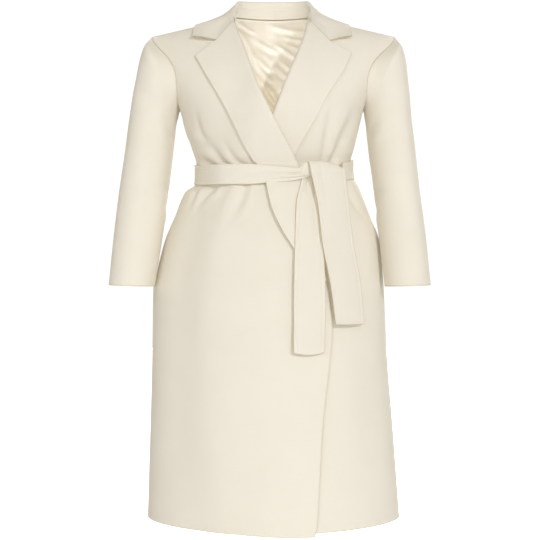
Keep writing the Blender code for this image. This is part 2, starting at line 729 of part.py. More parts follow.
def neck_seam(share):
    """Points just above the neck seam: round the back neckline, then down the fronts' necklines."""
    at = np.clip(np.abs(share) / NECK_TURNS, 0, 1)
    x = np.sign(share) * NECK_HALF * np.sin(at * np.pi / 2)
    z = level_height(x, np.ones_like(x))
    back = body("back", turn_at("back", x, z), z)
    down = np.clip((np.abs(share) - NECK_TURNS) / (1 - NECK_TURNS), 0, 1)
    over, under = (column(table, "x", GORGE_Z * down) for table in (OVER_EDGE, UNDER_EDGE))
    edges = np.where(share < 0, over, under)
    front = lay("front", edges, GORGE_Z * down, 0 * down)
    points = np.where((down > 0)[:, None], front, back)
    return points + np.array([0, 0, SEAM_RISE])


# ---------------------------------------------------------------- belt


def around_waist(share):
    """Whether on the front, and the turn, for a share of the way from the knot round to the knot."""
    start = turn_at("front", BELT_STARTS_X, CINCH_Z)
    end = turn_at("front", BELT_ENDS_X, CINCH_Z)
    way = share * (start + 1 + 2 + 1 - end)
    back_from, back_to = start + 1, start + 3
    turn = np.where(way < back_to, way - back_from - 1, 1 - (way - back_to))
    turn = np.where(way <= back_from, start - way, turn)
    return (way <= back_from) | (way >= back_to), turn


def belt_out(x, front):
    """How far the belt stands out: past the overlap of the fronts, then close to the body."""
    over = front * 1.0
    for start, full in BELT_RISES:
        over = over * ramp((x - start) / (full - start))
    return BELT_OUT + (OVERLAP_OUT - BELT_OUT) * over


def on_waist(make, front, turn, z):
    """A body function's values along the belt, on the front or the back."""
    return np.where(front[..., None], make("front", turn, z), make("back", turn, z))


def build_belt():
    share = np.linspace(0, 1, BELT_COLUMNS)
    front, turn = around_waist(share)
    middle = np.where(front, column(WAIST, "front", turn), column(WAIST, "back", turn))
    across = np.array([-0.5, 0.0, 0.5])[:, None]
    z = middle + column(BELT, "height", share) * across
    front, turn = np.broadcast_to(front, z.shape), np.broadcast_to(turn, z.shape)
    base = on_waist(body, front, turn, z)
    normal = on_waist(body_normal, front, turn, np.broadcast_to(middle, z.shape))
    normal[..., 2] = 0
    normal /= np.linalg.norm(normal, axis=-1, keepdims=True)
    grid = base + normal * belt_out(base[..., 0], front)[..., None]
    wall("belt", grid, grid - normal * BELT_CLOTH, "wool")


def tail_grid(table, rows=12, columns=4):
    z = np.linspace(table[0].z, table[-1].z, rows)[:, None]
    share = np.linspace(0, 1, columns)[None, :]
    x = column(table, "left", z) * (1 - share) + column(table, "right", z) * share
    out = column(table, "left_out", z) * (1 - share) + column(table, "right_out", z) * share
    z = np.broadcast_to(z, x.shape)
    return lay("front", x, z, out), body_normal("front", turn_at("front", x, z), z)


def build_tails():
    grid, normals = tail_grid(TAIL_LEFT)
    wall("belt_tail_left", grid, grid - normals * BELT_CLOTH, "wool")
    grid, normals = tail_grid(TAIL_RIGHT)
    top, up = grid[-1], np.array([0, 0, 1.0])
    radius = FOLD_TOP_Z - TAIL_RIGHT[-1].z
    facing = normals[-1]
    bend = [
        top - facing * radius * (1 - np.cos(a)) * FOLD_DEPTH + up * radius * np.sin(a)
        for a in np.radians(FOLD_BENDS)
    ]
    grid = np.concatenate([grid, np.stack(bend)])
    normals = grid_normals(grid)
    if normals[..., 1].sum() > 0:
        normals = -normals
    wall("belt_tail_right", grid, grid - normals * BELT_CLOTH, "wool")


def build_knot():
    """The gathered cross-over under the right tail."""
    angle = np.linspace(0, 2 * np.pi, KNOT_SIDES, endpoint=False)
    rings = []
    for knot in KNOT:
        centre = lay("front", knot.x, knot.z, knot.out)
        ring = np.repeat(centre[None], KNOT_SIDES, axis=0)
        ring[:, 1] += np.cos(angle) * knot.thickness / 2
        ring[:, 2] += np.sin(angle) * knot.height / 2
        rings.append(ring)
    tube("belt_knot", rings, "wool")


def main():
    for old in list(bpy.data.objects):
        bpy.data.objects.remove(old, do_unlink=True)
    coat = bpy.data.collections.new("wrap_coat")
    bpy.context.scene.collection.children.link(coat)
    build_shell()
    build_lining()
    build_lapel("lapel_right", OVER_EDGE, OVER_LAPEL, OVER_NOTCH, over_lift)
    build_lapel("lapel_left", UNDER_EDGE, UNDER_LAPEL, UNDER_NOTCH, lambda x, z: 0 * x)
    build_collar()
    build_belt()
    build_tails()
    build_knot()


main()
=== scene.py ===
"""Looks for the wrap coat: cream wool crepe, satin lining, tied belt. Metres, in the frame's axes.

Every piece is a thin closed shell on the form of its CAD solid, with finer rows, creases, pressed
edges and stitching. The form's tables and functions match the ones that the solids come from.
"""

from collections import namedtuple

import bmesh
import bpy
import numpy as np
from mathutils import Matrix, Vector


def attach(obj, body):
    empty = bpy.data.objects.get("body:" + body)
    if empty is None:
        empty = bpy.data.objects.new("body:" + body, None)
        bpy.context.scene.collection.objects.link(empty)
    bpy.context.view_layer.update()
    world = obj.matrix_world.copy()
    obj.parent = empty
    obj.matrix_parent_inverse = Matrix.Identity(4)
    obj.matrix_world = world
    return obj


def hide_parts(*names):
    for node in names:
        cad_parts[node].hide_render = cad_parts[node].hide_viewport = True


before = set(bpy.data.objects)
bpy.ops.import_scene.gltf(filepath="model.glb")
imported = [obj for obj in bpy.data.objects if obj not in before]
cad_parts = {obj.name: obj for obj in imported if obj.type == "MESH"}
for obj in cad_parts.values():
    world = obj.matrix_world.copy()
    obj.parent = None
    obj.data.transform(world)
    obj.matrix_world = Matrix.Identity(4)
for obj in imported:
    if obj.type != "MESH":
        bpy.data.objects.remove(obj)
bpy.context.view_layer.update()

# ---- the coat's form, as the solids have it

# Cloth and clearances
CLOTH = 0.002
SATIN = 0.001
BELT_CLOTH = 0.003
GAP = 0.0003

# Heights and widths that drive the rest
HEM_Z = -1.047
ARMPIT_Z = -0.196
NECK_HALF = 0.083
SHOULDER_SLOPE = 0.24
SHOULDER_Y = 0.003
BREAK_Z = -0.59
LAPEL_END_Z = -0.556

# How the top of the body rounds over to the shoulder seams, and rises into the neck
ROUND_DEPTH = {"front": 0.22, "back": 0.20}
NECK_RISE = {"front": 0.02, "back": 0.05}
ROUND_POWER = 1.6
BACK_NECK_RISE = 0.007

# Armholes: how far each turns in from the side line, as a share of a quarter of the body
ARMHOLE_CUT = {"front": 0.33, "back": 0.27}
ARMHOLE_POWER = 0.75

# The over-front's clearance over the under-front: with its lapel, and below the break without
LIFT = 0.0144
SKIRT_LIFT = 0.0065
LIFT_RUN = 0.08
LIFT_BEFORE_EDGE = 0.012
LIFT_BELOW_BREAK = 0.11
LIFT_EASE = 0.08

# The over-front's lower corner hangs a little lower than the rest of the hem
CORNER_DROP = 0.006
CORNER_START_X = -0.1
CORNER_RUN_X = 0.18
CORNER_TOP_Z = -0.7
CORNER_RUN_Z = 0.3

# Lapels and collar
LAPEL_OUT = 0.006
FACING_WIDTH = 0.018
FACING_TAPER = 0.35
GORGE_Z = -0.0225
NOTCH_SHARE = 0.46
# How far the roll line's bend starts inside the solid's, so that its outside lands on the line
ROLL_IN = 0.0055
ROLL_EASE = 0.1

# Belt: how far its outer face stands out from the body, and where the body draws in under it
BELT_OUT = 0.006
OVERLAP_OUT = 0.026
BELT_RISES = ((-0.155, -0.085), (0.155, 0.095))
CINCH_Z = -0.332
CINCH_REACH = 0.06
BELT_ENDS_X = 0.132

# Lining: how far it lies inside the back, loose below the neck, and clear of the back's wall
LINING_END_Z = -0.325
LINING_IN = 0.0032
LINING_EASE = 0.0032
LINING_EASE_RUN = 0.03
LINING_CLEAR = 0.0006
LINING_PRESS = 0.0008
LINING_TOP_RISE = 0.0015
LINING_REACH = 0.88

MM = 0.001


def table_mm(kind, *table):
    """A table of named rows, given in millimetres."""
    return [kind(*(value * MM for value in row)) for row in table]


Section = namedtuple("Section", "z right left side front back power")
BODY = (
    Section(-1.06, 0.264, 0.265, 0.0, -0.195, 0.19, 1.75),
    Section(-0.87, 0.257, 0.251, 0.0, -0.19, 0.185, 1.8),
    Section(-0.69, 0.253, 0.237, 0.001, -0.182, 0.18, 1.85),
    Section(-0.575, 0.252, 0.232, 0.002, -0.172, 0.173, 1.92),
    Section(-0.53, 0.243, 0.229, 0.003, -0.166, 0.167, 1.95),
    Section(-0.468, 0.227, 0.222, 0.004, -0.153, 0.155, 2.0),
    Section(-0.418, 0.206, 0.201, 0.005, -0.138, 0.138, 2.05),
    Section(-0.367, 0.184, 0.178, 0.006, -0.121, 0.114, 2.1),
    Section(-0.352, 0.163, 0.169, 0.006, -0.114, 0.1, 2.15),
    Section(-0.332, 0.159, 0.162, 0.006, -0.112, 0.098, 2.15),
    Section(-0.308, 0.161, 0.163, 0.006, -0.113, 0.098, 2.15),
    Section(-0.292, 0.166, 0.167, 0.006, -0.119, 0.101, 2.2),
    Section(-0.241, 0.183, 0.178, 0.005, -0.139, 0.11, 2.3),
    Section(-0.196, 0.196, 0.189, 0.003, -0.147, 0.117, 2.4),
    Section(-0.13, 0.222, 0.215, 0.003, -0.144, 0.121, 2.6),
    Section(-0.041, 0.255, 0.255, 0.003, -0.135, 0.12, 2.6),
    Section(0.06, 0.255, 0.255, 0.003, -0.13, 0.118, 2.6),
)

# Each front's inner edge: the lapel's roll line down to the break, then the free edge
Edge = namedtuple("Edge", "z x")
OVER_EDGE = table_mm(
    Edge,
    (-1055, 75),
    (-1034, 83),
    (-985, 87),
    (-893, 92),
    (-818, 97),
    (-726, 108),
    (-669, 112),
    (-590, 104),
    (-432, 76),
    (-320, 47),
    (-224, -2),
    (-165, -31),
    (-78, -61),
    (-22, -79.5),
    (0, -83),
)
UNDER_EDGE = table_mm(
    Edge,
    (-1047, -75),
    (-700, -108),
    (-590, -104),
    (-432, -76),
    (-320, -46),
    (-223, -2),
    (-143, 29),
    (-101, 46),
    (-59, 61),
    (-22, 71.5),
    (0, 83),
)

# Each lapel's outer edge, from its tip down to the break, with its notch
OVER_NOTCH = Edge(-0.0635, -0.116)
UNDER_NOTCH = Edge(-0.0655, 0.1135)
OVER_LAPEL = table_mm(
    Edge,
    (-556, 94.5),
    (-498, 40),
    (-416, -3.5),
    (-364, -15.5),
    (-315, -32.5),
    (-301, -41),
    (-246, -73),
    (-184, -108),
    (-140, -134),
    (-97, -158),
)
UNDER_LAPEL = table_mm(
    Edge,
    (-556, -94.5),
    (-498, -40),
    (-416, 0),
    (-350, 22),
    (-294, 45),
    (-275, 55),
    (-230, 81),
    (-179, 109),
    (-129, 141),
    (-90, 158),
)

# Half of the collar, from the centre back to the gorge: its fold line, the middle of the leaf and
# the leaf's outer edge. x is a distance to either side of shift.
Collar = namedtuple(
    "Collar", "share shift fold_x fold_y fold_z mid_x mid_y mid_z edge_x edge_y edge_z"
)
COLLAR = (
    Collar(0.0, 0.0, 0.0, 0.078, 0.048, 0.0, 0.093, 0.017, 0.0, 0.101, -0.024),
    Collar(0.22, 0.0, 0.045, 0.071, 0.0475, 0.056, 0.086, 0.017, 0.066, 0.092, -0.03),
    Collar(0.42, 0.0, 0.074, 0.048, 0.044, 0.096, 0.06, 0.014, 0.118, 0.062, -0.03),
    Collar(0.62, 0.0, 0.082, 0.018, 0.024, 0.113, 0.02, 0.006, 0.15, 0.025, -0.012),
    Collar(0.8, -0.002, 0.081, -0.01, 0.004, 0.116, -0.022, -0.008, 0.16, -0.013, -0.018),
    Collar(0.9, -0.003, 0.079, -0.034, -0.007, 0.116, -0.049, -0.031, 0.164, -0.031, -0.032),
    Collar(1.0, -0.003, 0.0755, -0.057, -0.019, 0.115, -0.079, -0.059, 0.165, -0.058, -0.049),
)

# Sleeve sections after the armhole: outer and inner points, place in depth, half depth
Arm = namedtuple("Arm", "outer_x outer_z inner_x inner_z y depth")
SLEEVE_RIGHT = table_mm(
    Arm,
    (268, -58, 199.5, -208, 1, 66),
    (279, -88, 203, -222, -1, 65),
    (288, -135, 205.5, -248, -4, 63),
    (301, -216, 210, -290, -9, 61),
    (310, -290, 214.5, -332, -15, 59),
    (320, -367, 220, -385, -25, 58),
    (329, -455, 229, -462, -40, 57),
    (338, -562, 244, -565, -55, 56),
)
SLEEVE_LEFT = table_mm(
    Arm,
    (267, -58, 191.5, -208, 1, 66),
    (277, -88, 193.5, -222, -1, 65),
    (282, -135, 196, -248, -4, 63),
    (289, -216, 200, -290, -9, 61),
    (297, -290, 205.5, -332, -15, 59),
    (304, -367, 211, -385, -25, 58),
    (314, -455, 218, -462, -40, 57),
    (323, -562, 229, -565, -55, 56),
)
SLEEVE_POWER = 2.1

# Height of the belt's middle round the front and the back, by turn
Waist = namedtuple("Waist", "turn front back")
WAIST = (
    Waist(-1.0, -0.331, -0.331),
    Waist(-0.5, -0.338, -0.328),
    Waist(0.0, -0.34, -0.325),
    Waist(0.2, -0.339, -0.324),
    Waist(0.7, -0.327, -0.321),
    Waist(1.0, -0.319, -0.319),
)


# ---- curves through short tables


def through(keys, values, at):
    """Values along a smooth curve through the rows, which never overshoots them."""
    keys = np.asarray(keys, float)
    values = np.asarray(values, float)
    at = np.clip(np.asarray(at, float), keys[0], keys[-1])
    steps = np.diff(keys).reshape(-1, *[1] * (values.ndim - 1))
    rises = np.diff(values, axis=0) / steps
    same = rises[1:] * rises[:-1] > 0
    total = np.where(same, rises[1:] + rises[:-1], 1.0)
    inner = np.where(same, 2 * rises[1:] * rises[:-1] / total, 0.0)
    slopes = np.concatenate([rises[:1], inner, rises[-1:]])
    row = np.clip(np.searchsorted(keys, at, side="right") - 1, 0, len(keys) - 2)
    shape = at.shape + (1,) * (values.ndim - 1)
    step = np.diff(keys)[row].reshape(shape)
    t = ((at - keys[row]) / np.diff(keys)[row]).reshape(shape)
    return (
        values[row] * (1 + 2 * t) * (1 - t) ** 2
        + slopes[row] * step * t * (1 - t) ** 2
        + values[row + 1] * t * t * (3 - 2 * t)
        + slopes[row + 1] * step * t * t * (t - 1)
    )


def column(table, name, at):
    """One named column of a table, at a value of its first column."""
    return through([row[0] for row in table], [getattr(row, name) for row in table], at)


def ramp(t):
    """0 to 1 with level ends."""
    t = np.clip(t, 0.0, 1.0)
    return t * t * (3 - 2 * t)


# ---- the body's surface

HALF_GUESS = 0.2
TURN_ROUNDS = 4
NORMAL_TURN = 0.02
NORMAL_RISE = 0.004


def shoulder_line(half, x):
    """Height of the shoulder seam, carried on into the neck."""
    line = -SHOULDER_SLOPE * (np.abs(x) - NECK_HALF)
    inside = np.clip(1 - (x / NECK_HALF) ** 2, 0, 1)
    return line + NECK_RISE[half] * inside**1.5


def cut_height(half, turn, z):
    """Height at which the body table is read: near the waist it follows the belt's tilt."""
    tilt = column(WAIST, half, turn) - CINCH_Z
    return z - tilt * np.exp(-(((z - CINCH_Z) / CINCH_REACH) ** 2))


def half_width(x, z):
    return np.where(x < 0, column(BODY, "right", z), column(BODY, "left", z))


def body(half, turn, z):
    """A point of the body's outer surface. turn is -1 at the right side line and 1 at the left."""
    turn, z = np.broadcast_arrays(np.asarray(turn, float), np.asarray(z, float))
    cut = cut_height(half, turn, z)
    power = 2 / column(BODY, "power", cut)
    angle = np.radians(90) * np.abs(turn)
    x = np.sign(turn) * half_width(turn, cut) * np.sin(angle) ** power
    side = column(BODY, "side", cut)
    y = side + (column(BODY, half, cut) - side) * np.clip(np.cos(angle), 0, 1) ** power
    drop = np.clip((shoulder_line(half, x) - z) / ROUND_DEPTH[half], 0, 1)
    fullness = (1 - (1 - drop) ** ROUND_POWER) ** (1 / ROUND_POWER)
    return np.stack([x, SHOULDER_Y + (y - SHOULDER_Y) * fullness, z], axis=-1)


def turn_at(half, x, z):
    """The turn at which the body's surface is at x."""
    turn = np.asarray(x, float) / HALF_GUESS
    for _ in range(TURN_ROUNDS):
        cut = cut_height(half, np.clip(turn, -1, 1), z)
        share = np.clip(np.abs(x) / half_width(x, cut), 0, 1)
        turn = np.sign(x) * np.arcsin(share ** (column(BODY, "power", cut) / 2)) / np.radians(90)
    return turn


def body_normal(half, turn, z):
    turn, z = np.broadcast_arrays(np.asarray(turn, float), np.asarray(z, float))
    after, before = (np.clip(turn + step, -1, 1) for step in (NORMAL_TURN, -NORMAL_TURN))
    across = body(half, after, z) - body(half, before, z)
    along = body(half, turn, z + NORMAL_RISE) - body(half, turn, z - NORMAL_RISE)
    out = np.cross(across, along) * (1 if half == "front" else -1)
    return out / np.linalg.norm(out, axis=-1, keepdims=True)


def lay(half, x, z, out):
    """Points that lie on the body at x and z, moved out."""
    x, z = np.broadcast_arrays(np.asarray(x, float), np.asarray(z, float))
    turn = turn_at(half, x, z)
    return body(half, turn, z) + body_normal(half, turn, z) * np.asarray(out)[..., None]


def over_lift(x, z):
    """How far the over-front stands out from the body, to clear the under-front below it."""
    full = SKIRT_LIFT + (LIFT - SKIRT_LIFT) * ramp((z - BREAK_Z + LIFT_BELOW_BREAK) / LIFT_EASE)
    past = x - column(UNDER_EDGE, "x", z) + LIFT_RUN + LIFT_BEFORE_EDGE
    return full * ramp(past / LIFT_RUN)


# ---- levels: hem to shoulder

LEVEL_ROUNDS = 6
LEVEL_GUESS_X = 0.15


def level_height(x, level):
    """Height of a level line: flat up to the armpit (0), then rising to the shoulder seam (1)."""
    neck = BACK_NECK_RISE * np.clip(1 - (x / NECK_HALF) ** 2, 0, 1)
    top = -SHOULDER_SLOPE * np.clip(np.abs(x) - NECK_HALF, 0, None) + neck
    return np.where(level <= 0, ARMPIT_Z + level, ARMPIT_Z + (top - ARMPIT_Z) * level)


def side_turn(half, level):
    """The side line, and above the armpit the armhole."""
    return 1 - ARMHOLE_CUT[half] * np.sin(np.pi * np.clip(level, 0, 1)) ** ARMHOLE_POWER


def edge_x(table, level):
    """Where a front's inner edge crosses a level line."""
    x = column(table, "x", level_height(np.zeros_like(level), level))
    for _ in range(LEVEL_ROUNDS):
        x = column(table, "x", level_height(x, level))
    return x


def level_points(half, turns, level):
    """The body's points at these turns along a level line."""
    level = np.broadcast_to(level[:, None], turns.shape)
    z = level_height(np.full(turns.shape, LEVEL_GUESS_X), level)
    for _ in range(LEVEL_ROUNDS):
        z = level_height(body(half, turns, z)[..., 0], level)
    return turns, z


# ---- creases and grooves

# Each crease runs from one end to the other, with its bow, depth and width
Crease = namedtuple("Crease", "x0 z0 x1 z1 bow depth width")
FRONT_RIGHT_CREASES = table_mm(
    Crease,
    # Above the belt, running down into it
    (-164, -288, -108, -322.5, 4, 3.8, 6.2),
    (-132, -274, -81, -322.5, 5, 3.8, 6),
    (-101, -268, -54, -322.5, 4, 4, 5.8),
    (-152, -256, -118, -296, -3, 1.6, 9),
    (-160, -198, -142, -265, 4, 4, 7),
    (-175, -205, -162, -250, 2, 2.4, 7),
    (-118, -190, -90, -260, 6, 1.2, 18),
    # Below the belt, fanning out over the hip
    (-90, -450, -51, -360, 4, 4.6, 7),
    (-156, -404, -112, -364, -3, 4.4, 6.6),
    (-176, -412.5, -156, -360, -1, 3.4, 5.6),
    (-118, -428, -86, -360, -2, 1.8, 8),
    # Long soft ones in the skirt
    (-150, -520, -190, -960, 10, 2, 30),
    (-30, -620, -60, -1030, -6, 1.4, 32),
)
FRONT_LEFT_CREASES = table_mm(
    Crease,
    (122, -178.5, 101, -318, 2, 4.2, 7.5),
    (172.5, -194.5, 123, -316, 4, 4.9, 8.5),
    (137.5, -276, 112, -318, 1, 3.2, 5),
    (166, -205, 142, -270, -3, 2.2, 8),
    (195.5, -437, 146, -356, -3, 4.4, 8),
    (131, -437, 110, -356, -2, 2.9, 9),
    (165, -500, 198, -940, -10, 2, 28),
)
BACK_CREASES = table_mm(
    Crease,
    (-146.5, -236.5, -112, -307, 3, 4.2, 7.5),
    (-92, -255.5, -74, -305, 2, 4.3, 6.5),
    (-43.5, -223, -33, -304, 2, 3.2, 8),
    (10.5, -259, 3, -304, -1, 3.8, 6),
    (60.5, -232, 47, -304, 2, 4.3, 7.5),
    (110.5, -252.5, 88, -305, 3, 3.9, 6.5),
    (160.5, -214.5, 123, -306, 3, 4.1, 8),
    (-178, -425.5, -142, -352, -3, 3.9, 8.5),
    (-98.5, -451, -82, -352, -2, 4.1, 8.5),
    (-32, -418, -26, -352, -1, 3.2, 7.5),
    (50, -442, 41, -352, -2, 4.1, 9),
    (120, -427, 96, -352, -3, 3.8, 8),
    (185.5, -429, 145, -354, -3, 3.9, 8),
    (-150, -530, -178, -980, 10, 3, 32),
    (-48, -560, -60, -1020, 8, 2.6, 34),
    (62, -540, 72, -990, -8, 2.8, 33),
    (158, -560, 186, -1010, -8, 2.6, 30),
    (-150, -130, -130, -250, 6, 2.4, 13),
    (148, -125, 128, -245, -6, 2.4, 13),
)
# Along and round each sleeve: x is the angle from the outer side in thousandths of a turn
SLEEVE_RIGHT_CREASES = table_mm(
    Crease,
    (130, -115, 240, -190, 4, 2, 16),
    (330, -200, 440, -260, 3, 2.6, 11),
    (520, -250, 640, -215, 3, 2.4, 12),
    (360, -345, 520, -375, 4, 2.4, 10),
    (400, -390, 560, -405, -4, 2, 11),
    (700, -140, 820, -230, 4, 2.2, 16),
    (620, -350, 760, -400, 4, 1.8, 12),
)
SLEEVE_LEFT_CREASES = table_mm(
    Crease,
    (120, -125, 250, -185, 4, 1.8, 17),
    (320, -210, 450, -250, 3, 2.4, 11),
    (530, -245, 650, -220, 3, 2.4, 12),
    (350, -355, 500, -380, 4, 2.2, 11),
    (420, -400, 580, -415, -4, 2, 11),
    (690, -150, 810, -235, 4, 2.2, 16),
    (630, -360, 770, -405, 4, 1.8, 12),
)
LINING_CREASES = table_mm(
    Crease,
    (-94, 6, -48, -17, 1, 6.4, 3),
    (-24, 7, 74, -20, 3, 5.6, 4.2),
    (6, -12, 78, -36, 2, 3.4, 4.5),
    (-56, -22, 10, -53, 3, 4, 4.6),
    (-16, -28, 52, -68, -2, 4.2, 4),
    (24, -30, 72, -56, 1, 3, 4),
    (-60, -48, -6, -93, 2, 3.4, 5),
    (-20, -56, 34, -109, 3, 4.6, 4.2),
    (8, -62, 50, -99, 1, 3, 3.8),
    (-92, -2, -44, -68, -3, 7.2, 3.8),
    (-64, -47, -9, -115, 2, 8.4, 4),
    (-26, -98, 10, -164, 4, 8.4, 4.2),
    (-90, -90, -30, -170, 4, 3.4, 9),
    (60, -90, 30, -180, 4, 3.4, 9),
    (-100, -170, -60, -290, 4, 3.4, 12),
    (0, -180, 10, -290, 4, 3, 12),
    (90, -170, 70, -290, 4, 3.4, 12),
)
# A crease grows from its first end to its last, and has a ridge beside it, in widths and shares
CREASE_BEFORE = 0.1
CREASE_GROWS = 0.75
CREASE_PAST = 1.15
CREASE_FADES = 0.25
RIDGE_PLACE = 2.0
RIDGE_WIDTH = 1.1
RIDGE_HEIGHT = 0.55


def crease_depth(table, x, z):
    """How far creases pull the surface in: each a soft trough with a low ridge beside it."""
    total = np.zeros(np.broadcast(x, z).shape)
    for c in table:
        run = np.array([c.x1 - c.x0, c.z1 - c.z0])
        length = np.linalg.norm(run)
        along = ((x - c.x0) * run[0] + (z - c.z0) * run[1]) / length**2
        off = ((x - c.x0) * run[1] - (z - c.z0) * run[0]) / length
        off = off - c.bow * 4 * np.clip(along, 0, 1) * (1 - np.clip(along, 0, 1))
        fade = ramp((along + CREASE_BEFORE) / CREASE_GROWS)
        fade = fade * ramp((CREASE_PAST - along) / CREASE_FADES)
        trough = np.exp(-((off / c.width) ** 2))
        ridge = np.exp(-(((off - RIDGE_PLACE * c.width) / (RIDGE_WIDTH * c.width)) ** 2))
        total += c.depth * fade * (trough - RIDGE_HEIGHT * ridge)
    return total


STITCH_IN = 0.006
STITCH_WIDTH = 0.0011
STITCH_DEPTH = 0.0007
LAPEL_STITCH = 0.0003
BELT_STITCH = 0.0004
COLLAR_STITCH = 0.0005


def stitch_groove(distance, depth=STITCH_DEPTH):
    """The line that edge stitching presses into cloth, at a fixed distance from the edge."""
    return depth * np.exp(-(((distance - STITCH_IN) / STITCH_WIDTH) ** 2))


# ---- shells of cloth


def grid_normals(grid, around=False):
    if around:
        across = np.roll(grid, -1, axis=1) - np.roll(grid, 1, axis=1)
    else:
        across = np.gradient(grid, axis=1)
    out = np.cross(across, np.gradient(grid, axis=0))
    return out / np.maximum(np.linalg.norm(out, axis=-1, keepdims=True), 1e-12)


def outward(grid, around=False):
    normals = grid_normals(grid, around)
    middle = grid.mean(axis=1, keepdims=True) if around else np.zeros(3)
    away = (grid - middle) * np.array([1, 1, 0])
    return normals if (normals * away).sum() > 0 else -normals


def unit(v):
    return v / np.maximum(np.linalg.norm(v, axis=-1, keepdims=True), 1e-12)


def pull_in(grid, gap, around=False):
    grid = grid.copy()
    grid[0] += unit(grid[1] - grid[0]) * gap
    grid[-1] += unit(grid[-2] - grid[-1]) * gap
    if not around:
        grid[:, 0] += unit(grid[:, 1] - grid[:, 0]) * gap
        grid[:, -1] += unit(grid[:, -2] - grid[:, -1]) * gap
    return grid


RIM_ANGLES = (45, 90, 135)
# How much of the painted edge shade shows on a rim, and on the outer points next to it
EDGE_SHADE_SHARE = 0.75
OUTER_EDGE_SHADE_SHARE = 0.3


def shell(name, grid, normals, thickness, finish, around=False, bulge=0.5):
    """A closed wall of cloth on a grid of outer points, with its rims rounded by bulge."""
    rows, columns = grid.shape[:2]
    inset = bulge * thickness / 2 + GAP / 2
    outer = pull_in(grid, inset, around)
    inner = pull_in(grid - normals * thickness, inset, around)
    index = np.arange(rows * columns).reshape(rows, columns)
    beyond = np.zeros_like(outer)
    beyond[0] += unit(outer[0] - outer[1])
    beyond[-1] += unit(outer[-1] - outer[-2])
    if around:
        loops = [index[0], index[-1]]
    else:
        beyond[:, 0] += unit(outer[:, 0] - outer[:, 1])
        beyond[:, -1] += unit(outer[:, -1] - outer[:, -2])
        loops = [np.concatenate([index[0], index[1:, -1], index[-1, -2::-1], index[-2:0:-1, 0]])]
    flat_outer, flat_inner = outer.reshape(-1, 3), inner.reshape(-1, 3)
    points = [flat_outer, flat_inner]
    faces = []
    span = columns if around else columns - 1
    left = index[:-1, :span].ravel()
    right = np.roll(index, -1, axis=1)[:-1, :span].ravel()
    up_left = index[1:, :span].ravel()
    up_right = np.roll(index, -1, axis=1)[1:, :span].ravel()
    size = rows * columns
    faces.append(np.stack([left, right, up_right, up_left], axis=1))
    faces.append(np.stack([left, up_left, up_right, right], axis=1) + size)
    count = 2 * size
    # Where the painted edge shade goes: a share on each point, full on the rims
    edge = [np.zeros(count)]
    for loop in loops:
        edge[0][loop] = OUTER_EDGE_SHADE_SHARE
        centre = (flat_outer[loop] + flat_inner[loop]) / 2
        arm = (flat_outer[loop] - flat_inner[loop]) / 2
        away = unit(beyond.reshape(-1, 3)[loop])
        out = away * np.linalg.norm(arm, axis=1, keepdims=True) * bulge
        layers = [loop]
        for angle in np.radians(RIM_ANGLES):
            points.append(centre + arm * np.cos(angle) + out * np.sin(angle))
            edge.append(np.full(len(loop), EDGE_SHADE_SHARE))
            layers.append(count + np.arange(len(loop)))
            count += len(loop)
        layers.append(loop + size)
        for a, b in zip(layers, layers[1:]):
            faces.append(np.stack([a, np.roll(a, -1), np.roll(b, -1), b], axis=1))
    faces = np.concatenate(faces).tolist()
    piece = make_piece(name, np.concatenate(points), faces, finish)
    cut = piece.data.attributes.new("edge", "FLOAT", "POINT")
    cut.data.foreach_set("value", np.concatenate(edge))
    return piece


def make_piece(name, points, faces, finish):
    data = bpy.data.meshes.new(name)
    data.from_pydata(points.tolist(), [], faces)
    mesh = bmesh.new()
    mesh.from_mesh(data)
    bmesh.ops.recalc_face_normals(mesh, faces=mesh.faces[:])
    if mesh.calc_volume(signed=True) < 0:
        bmesh.ops.reverse_faces(mesh, faces=mesh.faces[:])
    mesh.to_mesh(data)
    mesh.free()
    data.shade_smooth()
    data.materials.append(finish)
    piece = bpy.data.objects.new(name, data)
    bpy.context.scene.collection.objects.link(piece)
    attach(piece, "root")
    return piece


# ---- materials


def node_maker(tree):
    def add(kind, **inputs):
        node = tree.nodes.new(kind)
        for key, value in inputs.items():
            key = key.replace("_", " ")
            if hasattr(value, "is_output"):
                tree.links.new(value, node.inputs[key])
            else:
                node.inputs[key].default_value = value
        return node

    return add


def mixed(tree, factor, first, second):
    node = tree.nodes.new("ShaderNodeMix")
    node.data_type = "RGBA"
    tree.links.new(factor, node.inputs["Factor"])
    for socket, value in ((node.inputs[6], first), (node.inputs[7], second)):
        if hasattr(value, "is_output"):
            tree.links.new(value, socket)
        else:
            socket.default_value = value
    return node.outputs[2]


WOOL_LIGHT = (0.797, 0.757, 0.662, 1.0)
WOOL_DEEP = (0.75, 0.703, 0.605, 1.0)
BELT_LIGHT = (0.79, 0.752, 0.659, 1.0)
BELT_DEEP = (0.746, 0.7, 0.602, 1.0)
SATIN_LIGHT = (0.915, 0.88, 0.8, 1.0)
SATIN_DEEP = (0.87, 0.825, 0.73, 1.0)
# Painted shade: the lining turns golden at the bottom of the neck opening, where it lies in shade
SATIN_PAINTED_SHADE = (0.82, 0.71, 0.49, 1.0)
PAINTED_SHADE_FROM_Z = -0.11
PAINTED_SHADE_FULL_Z = -0.2
# Painted shade along the cut edges, standing in for the thin contact shadows there
EDGE_PAINTED_SHADE = (0.5, 0.4, 0.22, 1.0)


def new_material(name):
    made = bpy.data.materials.new(name)
    made.use_nodes = True
    tree = made.node_tree
    add = node_maker(tree)
    place = add("ShaderNodeTexCoord").outputs["Object"]
    return made, tree, add, tree.nodes["Principled BSDF"], place


